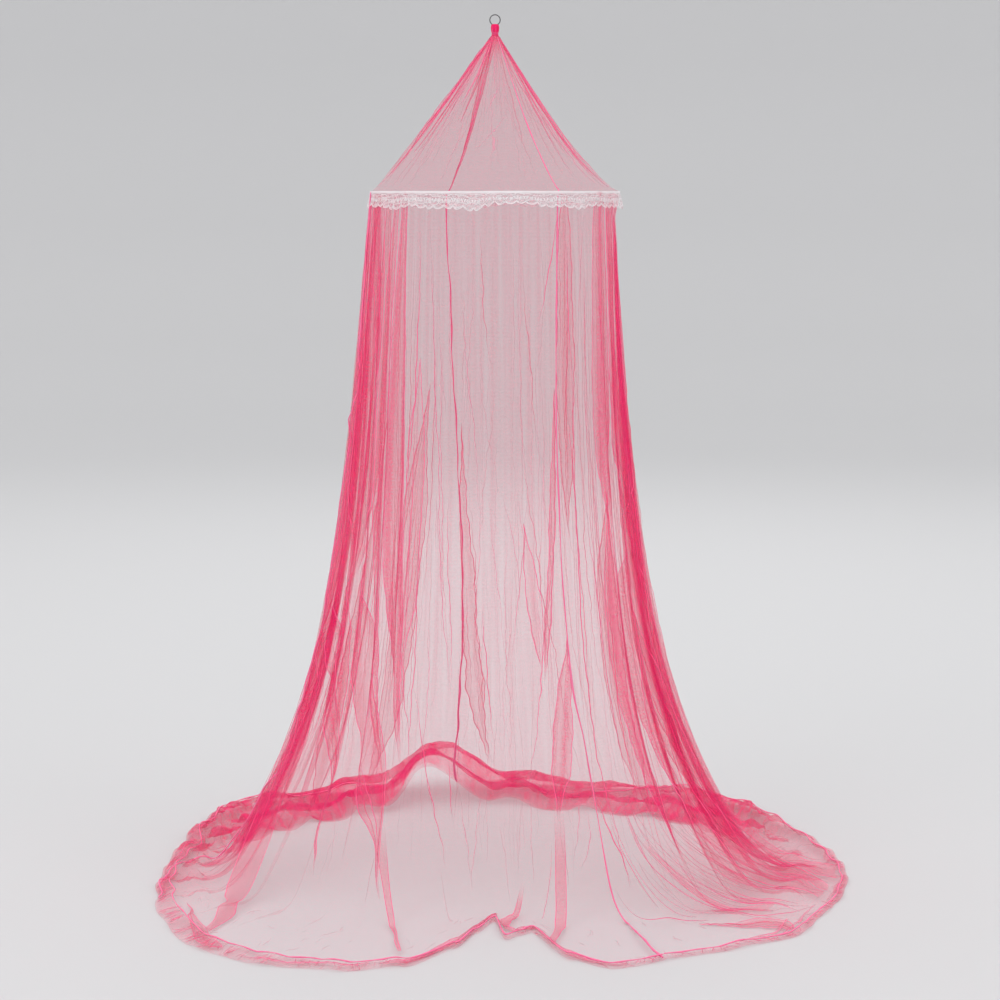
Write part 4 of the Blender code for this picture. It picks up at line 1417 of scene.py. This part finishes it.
class SkirtPanel:
    """One net panel of the skirt, between two seams."""

    def __init__(self, first, last):
        self.first, self.last = first, last
        self.cloth = Cloth()

    def limits(self, way):
        """The places of the panel's two seams."""
        (first, first_turns), (last, last_turns) = self.first, self.last
        return seam_at(first, way, first_turns), seam_at(last, way, last_turns)

    def holds(self, place, way):
        """Whether a fold that starts here belongs to this panel."""
        first, last = self.limits(way)
        return first <= place < last

    def strip(self, place, way, width, rise, cover, bright, gap, calm=0):
        """A strip that stays within the panel."""
        place = np.clip(place, *self.limits(way))
        add_strip(
            self.cloth, skirt_surface, (place, way), width, rise, cover, bright, gap=gap, calm=calm
        )

    def add_net(self):
        # rows over the hanging part, its bend, the floor, the turn and the turned hem
        parts = ((0.0, 0.90, 84), (0.90, 1.0, 16), (1.0, 2.0, 38), (2.0, 2.2, 6), (2.2, 3.0, 8))
        ways = stepped(*parts)[:, None]
        first, last = self.limits(ways)
        columns = int(np.max(last - first) * 20) + 1
        place = first + (last - first) * np.linspace(0.0, 1.0, columns)
        way = np.broadcast_to(ways, place.shape)
        self.cloth.add(skirt_surface(place, way), net_cover(place, way))

    def add_bands(self):
        for seed, (start, end, *edges, cover) in enumerate(SKIRT_BANDS):
            if not self.holds(edges[0], start):
                continue
            share = np.linspace(0.0, 1.0, 40 + int(110 * (end - start)))
            way = start + (end - start) * share
            left = three_points(*edges[:3], share) + quiver(way, seed)
            right = three_points(*edges[3:], share) + quiver(way, seed + 0.6)
            # a band that starts under the lace is open at once, the others open out from a point
            opened = smooth(0.0, 0.30, share) if start > 0.1 else np.ones_like(share)
            opened = (0.06 + 0.94 * opened) * (1.0 - 0.85 * smooth(0.72, 1.0, share))
            middle = (left + right) / 2
            left, right = middle + (left - middle) * opened, middle + (right - middle) * opened
            left, right = (np.clip(edge, *self.limits(way)) for edge in (left, right))
            fade = smooth(-0.02, 0.03, share) * (1.0 - smooth(0.90, 1.0, share))
            lift = 0.0008 + 0.0003 * (seed % 5)
            across = np.linspace(0.0, 1.0, 9)
            grid = left[:, None] + (right - left)[:, None] * across
            swell = lift + 0.0016 * np.sqrt(4.0 * across * (1.0 - across))
            pleats = 1.0 + 0.30 * np.cos(9.0 * across + 3.0 * share[:, None] + seed)
            shown = cover * fade[:, None] * pleats
            self.cloth.add(skirt_surface(grid, way[:, None], swell[None, :]), shown)
            self.add_edges(left, right, way, fade, 0.75, lift)
            self.add_streaks(way, left, right, share, seed, lift)

    def add_edges(self, left, right, way, fade, bright, gap, calm=0):
        """The two crisp edges of a flat fold, lightened by a painted highlight."""
        width = EDGE_WIDTH * fade + EDGE_LEAST
        for edge in (left, right):
            self.strip(edge, way, width, 0.0010, EDGE_COVER * fade, bright, gap, calm)

    def add_streaks(self, way, left, right, share, seed, lift):
        """Fine pleats inside a band, more of them where it is wider."""
        rng = np.random.default_rng(seed)
        for _ in range(3 + int(3.0 * np.mean(right - left))):
            inner, size = rng.uniform(0.08, 0.92), rng.uniform(0.0014, 0.0034)
            low = rng.uniform(0.0, 0.6)
            part = slice(int(low * len(way)), int(min(1.0, low + rng.uniform(0.3, 0.8)) * len(way)))
            line = left + (right - left) * (inner + 0.08 * np.sin(5.0 * share + seed + 9.0 * inner))
            ends = tapered(np.linspace(0.0, 1.0, len(way[part])))
            cover = rng.uniform(0.35, 0.80) * ends
            # each pleat gets a painted highlight of its own strength
            bright = rng.uniform(0.2, 0.8)
            self.strip(line[part], way[part], size * ends, 0.0012, cover, bright, lift + 0.0016)

    def add_creases(self):
        for seed, (start, end, *places, width, cover) in enumerate(SKIRT_CREASES):
            if not self.holds(places[0], start):
                continue
            share = np.linspace(0.0, 1.0, 30 + int(130 * (end - start)))
            way = start + (end - start) * share
            place = three_points(*places, share) + quiver(way, seed)
            ends = tapered(share)
            # eased where it comes down on to the floor
            calm = 8 if way[-1] > 0.95 else 0
            shown = min(cover * 1.25, 0.95) * ends
            # the crease gets a painted highlight
            self.strip(place, way, width * ends, 0.0018, shown, 0.6, 0.0030, calm)

    def add_train_bands(self):
        for seed, (left, right, start, end, cover) in enumerate(TRAIN_BANDS):
            if not self.holds(left[0], 0.9):
                continue
            way = np.linspace(start, end, 110)
            calm = SWEEP_EASE if left[0] < SWEEP_FOLDS_END else FOLD_EASE
            share = np.linspace(0.0, 1.0, len(way))
            left = flowing(way, left) + 0.3 * quiver(way, seed)
            right = flowing(way, right) + 0.3 * quiver(way, seed + 0.5)
            across = np.linspace(0.0, 1.0, 9)
            fade = smooth(0.0, 0.10, share) * (1.0 - smooth(0.94, 1.0, share))
            grid = left[:, None] + (right - left)[:, None] * across
            grid = np.clip(grid, *(limit[:, None] for limit in self.limits(way)))
            fold = calmed(skirt_surface(grid, way[:, None], 0.0030), calm)
            self.cloth.add(fold, (cover * fade)[:, None])
            self.add_edges(left, right, way, fade, 0.7, 0.0034, calm)

    def add_sweeps(self):
        """Long creases at random places between the rows of the sweep at the right."""
        rng = np.random.default_rng(19)
        rows = np.array(SWEEPS)
        for _ in range(SWEEP_LINES):
            row, start = rng.uniform(0.0, len(rows) - 1.001), rng.uniform(0.78, 0.92)
            end, size = rng.uniform(0.98, 1.88), rng.uniform(0.0014, 0.0034)
            cover = rng.uniform(0.4, 0.85)
            places = rows[int(row)] * (1.0 - row % 1.0) + rows[int(row) + 1] * (row % 1.0)
            if not self.holds(places[0], 0.9):
                continue
            way = start + (end - start) * np.linspace(0.0, 1.0, 90) ** 1.5
            ends = tapered(np.linspace(0.0, 1.0, len(way)), 0.5)
            line = flowing(way, places) + 0.4 * quiver(way, row)
            # each sweep gets a painted highlight of its own strength
            bright = rng.uniform(0.3, 0.9)
            self.strip(line, way, size * ends, 0.0016, cover * ends, bright, 0.0040, 16)

    def add_families(self):
        rng = np.random.default_rng(31)
        for row in CREASE_FAMILIES:
            low, high, number, early, late, short, long, lowest, drift, width, cover = row
            for _ in range(number):
                place, start = rng.uniform(low, high), rng.uniform(early, late)
                length, lean, seed = rng.uniform(short, long), rng.uniform(-1, 1), rng.uniform(0, 9)
                # each crease gets a strength and a painted highlight of its own
                strength, bright = rng.uniform(0.6, 1.35), rng.uniform(0.2, 0.8)
                if not self.holds(place, start):
                    continue
                share = np.linspace(0.0, 1.0, 14 + int(70 * length))
                way = start + np.minimum(length, max(lowest - start, 0.04)) * share
                line = place + lean * drift * share**1.3 + quiver(way, seed)
                ends = tapered(share, 0.5) * strength
                shown = np.minimum(cover * ends, 0.95)
                calm = 4 if way[-1] > 0.95 and start < 1.05 else 0
                self.strip(line, way, width * ends, 0.0012, shown, bright, 0.0024, calm)

    def add_puckers(self):
        """Short gathers across the turned hem and just inside it."""
        rng = np.random.default_rng(12)
        for _ in range(HEM_PUCKERS):
            place, lean = rng.uniform(2.0, 33.0), rng.uniform(-0.12, 0.12)
            start, length = rng.uniform(1.80, 1.93), rng.uniform(0.04, 0.16)
            strength = rng.uniform(0.6, 1.3)
            if not self.holds(place, 2.0):
                continue
            share = np.linspace(0.0, 1.0, 7)
            ends = tapered(share) * strength
            over = 2.25 + 0.68 * share
            # the puckers get a painted highlight
            self.strip(place + lean * share, over, 0.0018 * ends, 0.0008, 0.60 * ends, 0.5, 0.0004)
            inside = np.minimum(start + length * share, 1.985)
            self.strip(place - lean * share, inside, 0.0016 * ends, 0.0010, 0.48 * ends, 0.4, 0.0004)

    def add_hem_folds(self):
        for seed, (first, last, high, low, width, cover) in enumerate(HEM_FOLDS):
            if not self.holds(first, high):
                continue
            share = np.linspace(0.0, 1.0, 60)
            place = first + (last - first) * share
            way = high + (low - high) * share + 0.010 * np.sin(14.0 * share + seed)
            ends = tapered(share)
            # the fold gets a faint painted highlight, its crest a strong one
            self.strip(place, way, width * ends, 0.0040, cover * ends, 0.2, 0.0010)
            self.strip(place, way + 0.012, 0.0020 * ends, 0.0012, 0.85 * ends, 0.9, 0.0044)


class CANOPY_OT_skirt(bpy.types.Operator):
    """Add the two net panels of the skirt, with their folds, creases and turned hem"""

    bl_idname = "canopy.skirt"
    bl_label = "Skirt"

    def execute(self, context):
        for name, node, first, last, flat, area in (
            # each seam with how many full turns on it is
            ("skirt_right", "skirt_panel_right", (FRONT_SEAM, 0), (BACK_SEAM, 0), (2.90, 2.20), 4.0),
            ("skirt_left", "skirt_panel_left", (BACK_SEAM, 0), (FRONT_SEAM, 1), (3.20, 2.20), 4.4),
        ):
            panel = SkirtPanel(first, last)
            panel.add_net()
            panel.add_bands()
            piece = panel.cloth.build(name, the_net(context))
            finish_piece(piece, "net", node)

            # the creases that lie on the net are a piece of their own
            panel.cloth = Cloth()
            panel.add_creases()
            panel.add_train_bands()
            panel.add_sweeps()
            panel.add_families()
            panel.add_puckers()
            panel.add_hem_folds()
            creases = panel.cloth.build(name + "_creases", the_net(context))
            finish_piece(creases, "net")
        return {"FINISHED"}


# The rolled edge that runs down the left side and turns into the hem
SIDE_EDGE = (
    # way, place
    (0.00, 23.7),
    (0.12, 24.0),
    (0.21, 24.0),
    (0.34, 22.7),
    (0.43, 22.9),
    (0.61, 22.8),
    (0.71, 23.1),
    (0.78, 22.8),
    (0.85, 22.0),
    (0.91, 21.8),
    (0.98, 21.4),
    (1.12, 21.4),
    (1.62, 21.8),
    (1.88, 22.6),
    (1.95, 23.9),
)


class CANOPY_OT_rolls(bpy.types.Operator):
    """Add the rolled edge of the hem and the rolled seams between the panels"""

    bl_idname = "canopy.rolls"
    bl_label = "Hem and seams"

    def execute(self, context):
        sizes = context.scene.canopy_sizes
        self.add_hem(context, sizes.hem_roll)
        self.add_seam(context, "seam_front", FRONT_SEAM, (30.0, 26.0), 1.99, sizes.seam_roll)
        self.add_seam(context, "seam_back", BACK_SEAM, (203.0, 200.0), 0.99, sizes.seam_roll)
        self.add_side_edge(context, sizes.seam_roll)
        return {"FINISHED"}

    def add_hem(self, context, roll):
        place = np.linspace(2.0, 2.0 + FULL_TURN, 1900)
        wander = 0.05 * np.sin(3.1 * place) * np.sin(1.3 * place) + 0.02 * np.sin(11.0 * place)
        hem = skirt_surface(place, 2.93 + wander, roll * 1.2)
        hem += (calmed(hem, 14) - hem) * smooth(0.011, 0.018, fold_at(place)[2])[:, None]
        twist = 1.0 + 0.22 * np.sin(9.0 * place) + 0.16 * np.sin(23.0 * place)
        self.add_roll(context, "hem_roll", hem, roll * twist)

    def add_seam(self, context, name, seam, azimuths, end, roll):
        """A seam from the neck down the roof and the skirt, to the way where it ends."""
        level = np.linspace(0.99, 0.0, 110)
        low, high = azimuths
        roof = roof_surface(pleat_at(low + (high - low) * level), level, roll * 0.8)
        way = np.linspace(0.0, end, 420)
        skirt = calmed(skirt_surface(seam_at(seam, way) + 0.5 * quiver(way, 3.0), way, roll), 5)
        skirt += (calmed(skirt, 20) - skirt) * smooth(1.02, 1.15, way)[:, None]
        line = np.concatenate([roof, skirt])
        along = np.linspace(0.0, 1.0, len(line))
        twist = 0.75 + 0.30 * np.sin(90.0 * along) * np.sin(37.0 * along)
        twist += 0.4 * smooth(0.6, 0.9, along)
        self.add_roll(context, name, line, roll * twist * smooth(-0.3, 0.3, along))

    def add_side_edge(self, context, roll):
        way = np.linspace(0.0, SIDE_EDGE[-1][0], 460)
        place = seam_at(SIDE_EDGE, way) + 0.8 * quiver(way, 5.0)
        edge = skirt_surface(place, way, 0.0050 + roll)
        eased = smooth(0.80, 0.90, way) * (1 - smooth(1.8, 1.9, way))
        edge += (calmed(edge, 30) - edge) * eased[:, None]
        twist = 0.75 + 0.25 * np.sin(60.0 * way) * np.sin(23.0 * way)
        self.add_roll(context, "side_edge", edge, roll * twist)

    def add_roll(self, context, name, line, radius):
        cloth = Cloth()
        # the rolled edges get the full painted highlight
        add_tube(cloth, line, radius, ROLL_COVER, bright=1.0)
        finish_piece(cloth.build(name, the_net(context)), "net")


class CANOPY_OT_lace(bpy.types.Operator):
    """Add the gathered white lace round the hoop"""

    bl_idname = "canopy.lace"
    bl_label = "Lace"

    def execute(self, context):
        material = add_material("white_lace", lace_material, context.scene.canopy_colours.lace)
        cloth = Cloth()
        turn, down = np.meshgrid(
            np.linspace(0.0, LACE_REPEATS, LACE_REPEATS * 8 + 1), np.linspace(0.0, 1.0, 10)
        )
        ruffles = np.sin(2.1 * turn + 1.3 * np.sin(0.37 * turn)) * np.sin(0.83 * turn + 2.0)
        dense = 0.19 + 0.12 * ruffles * down + 0.45 * (1.0 - smooth(0.05, 0.22, down))
        cloth.add(lace_surface(turn, down * scallop_edge(turn)), dense)
        veil = cloth.build("lace_ground", material)
        finish_piece(veil, "lace", "lace_trim")

        threads = Cloth()
        self.add_threads(threads, context.scene.canopy_sizes.lace_thread)
        lace = threads.build("lace_threads", material)
        finish_piece(lace, "lace")
        return {"FINISHED"}

    def add_threads(self, cloth, thread):
        rng = np.random.default_rng(5)

        def strand(turn, down, width, cover=0.96):
            add_strip(cloth, lace_surface, (turn, down), width, 0.0005, cover, 1.0, gap=0.0003)

        self.add_rows(strand, thread, rng)
        self.add_lattice(strand, thread, rng)
        self.add_flowers(strand, thread, rng)

    def add_rows(self, strand, thread, rng):
        """The heading, the outlined scallops and wavy threads that run right round."""
        steps = np.linspace(0.0, LACE_REPEATS, LACE_REPEATS * 6 + 1)
        strand(steps, np.full_like(steps, 0.04), thread * 3.0)
        strand(steps, 0.15 + 0.015 * np.sin(2.7 * steps), thread * 0.8)
        edge = np.linspace(0.0, LACE_REPEATS, LACE_REPEATS * 12 + 1)
        for inset, share in ((0.02, 1.2), (0.09, 0.7)):
            strand(edge, scallop_edge(edge) - inset, thread * share)
        # the wavy threads lie a little closer together low down
        for row, level in enumerate((0.24, 0.33, 0.43, 0.52, 0.60, 0.68)):
            wave = 0.06 * np.sin((1.9 + 0.37 * row) * steps + 2.0 * row)
            wave += 0.04 * np.sin((5.1 - 0.41 * row) * steps + row)
            strand(steps, level + wave, thread * rng.uniform(0.5, 0.9), rng.uniform(0.75, 0.97))

    def add_lattice(self, strand, thread, rng):
        """A slanting lattice, a little uneven."""
        line = np.linspace(0.0, 1.0, 7)
        for k in range(LACE_REPEATS * 3):
            for lean in (1.0, -1.0):
                turn = k / 3 + rng.uniform(-0.1, 0.1) + lean * line * rng.uniform(0.6, 1.1)
                bottom = scallop_edge(turn) - 0.10
                top = 0.15 if rng.uniform() < 0.6 else rng.uniform(0.2, 0.5)
                width, cover = thread * rng.uniform(0.3, 0.6), rng.uniform(0.6, 0.95)
                strand(turn, top + (bottom - top) * line, width, cover)

    def add_flowers(self, strand, thread, rng):
        """A flower of six petals and two leaves in each scallop."""
        round_petal = np.linspace(0.0, 2.0 * np.pi, 9)
        leaf = np.linspace(0.0, 1.0, 6)
        for k in range(LACE_REPEATS):
            size, sink = rng.uniform(0.85, 1.25), rng.uniform(-0.04, 0.04)
            out = size * (0.0024 + 0.0018 * np.cos(round_petal))
            wide = size * 0.0012 * np.sin(round_petal)
            for petal in range(6):
                angle = 2.0 * np.pi * petal / 6
                x = out * np.cos(angle) - wide * np.sin(angle)
                y = out * np.sin(angle) + wide * np.cos(angle)
                strand(k + 0.5 + x / LACE_PITCH, 0.52 + sink + y / LACE_DEPTH, thread * 0.8)
            for lean in (-1.0, 1.0):
                strand(
                    k + lean * (0.05 + 0.22 * leaf),
                    0.64 + sink - 0.22 * np.sin(np.pi * leaf * 0.7),
                    thread * (0.5 + 1.6 * np.sin(np.pi * leaf)),
                )


PIECES = (
    CANOPY_OT_stage,
    CANOPY_OT_ring,
    CANOPY_OT_hoop,
    CANOPY_OT_roof,
    CANOPY_OT_binding,
    CANOPY_OT_skirt,
    CANOPY_OT_rolls,
    CANOPY_OT_lace,
)


class CANOPY_PT_panel(bpy.types.Panel):
    """Buttons for the canopy's pieces, with their sizes and colours"""

    bl_idname = "CANOPY_PT_panel"
    bl_label = "Net canopy"
    bl_space_type = "VIEW_3D"
    bl_region_type = "UI"
    bl_category = "Canopy"

    def draw(self, context):
        layout = self.layout
        for piece in PIECES:
            layout.operator(piece.bl_idname, text=piece.bl_label)
        for group in (context.scene.canopy_sizes, context.scene.canopy_colours):
            box = layout.box()
            for name in group.bl_rna.properties.keys():
                if name not in ("rna_type", "name"):
                    box.prop(group, name)


CLASSES = (CanopySizes, CanopyColours, *PIECES, CANOPY_PT_panel)


def register():
    for cls in CLASSES:
        bpy.utils.register_class(cls)
    bpy.types.Scene.canopy_sizes = PointerProperty(type=CanopySizes)
    bpy.types.Scene.canopy_colours = PointerProperty(type=CanopyColours)


def unregister():
    del bpy.types.Scene.canopy_colours
    del bpy.types.Scene.canopy_sizes
    for cls in reversed(CLASSES):
        bpy.utils.unregister_class(cls)


def main():
    register()
    bpy.ops.canopy.stage()
    bpy.ops.canopy.ring()
    bpy.ops.canopy.hoop()
    bpy.ops.canopy.roof()
    bpy.ops.canopy.binding()
    bpy.ops.canopy.skirt()
    bpy.ops.canopy.rolls()
    bpy.ops.canopy.lace()


if __name__ == "__main__":
    main()
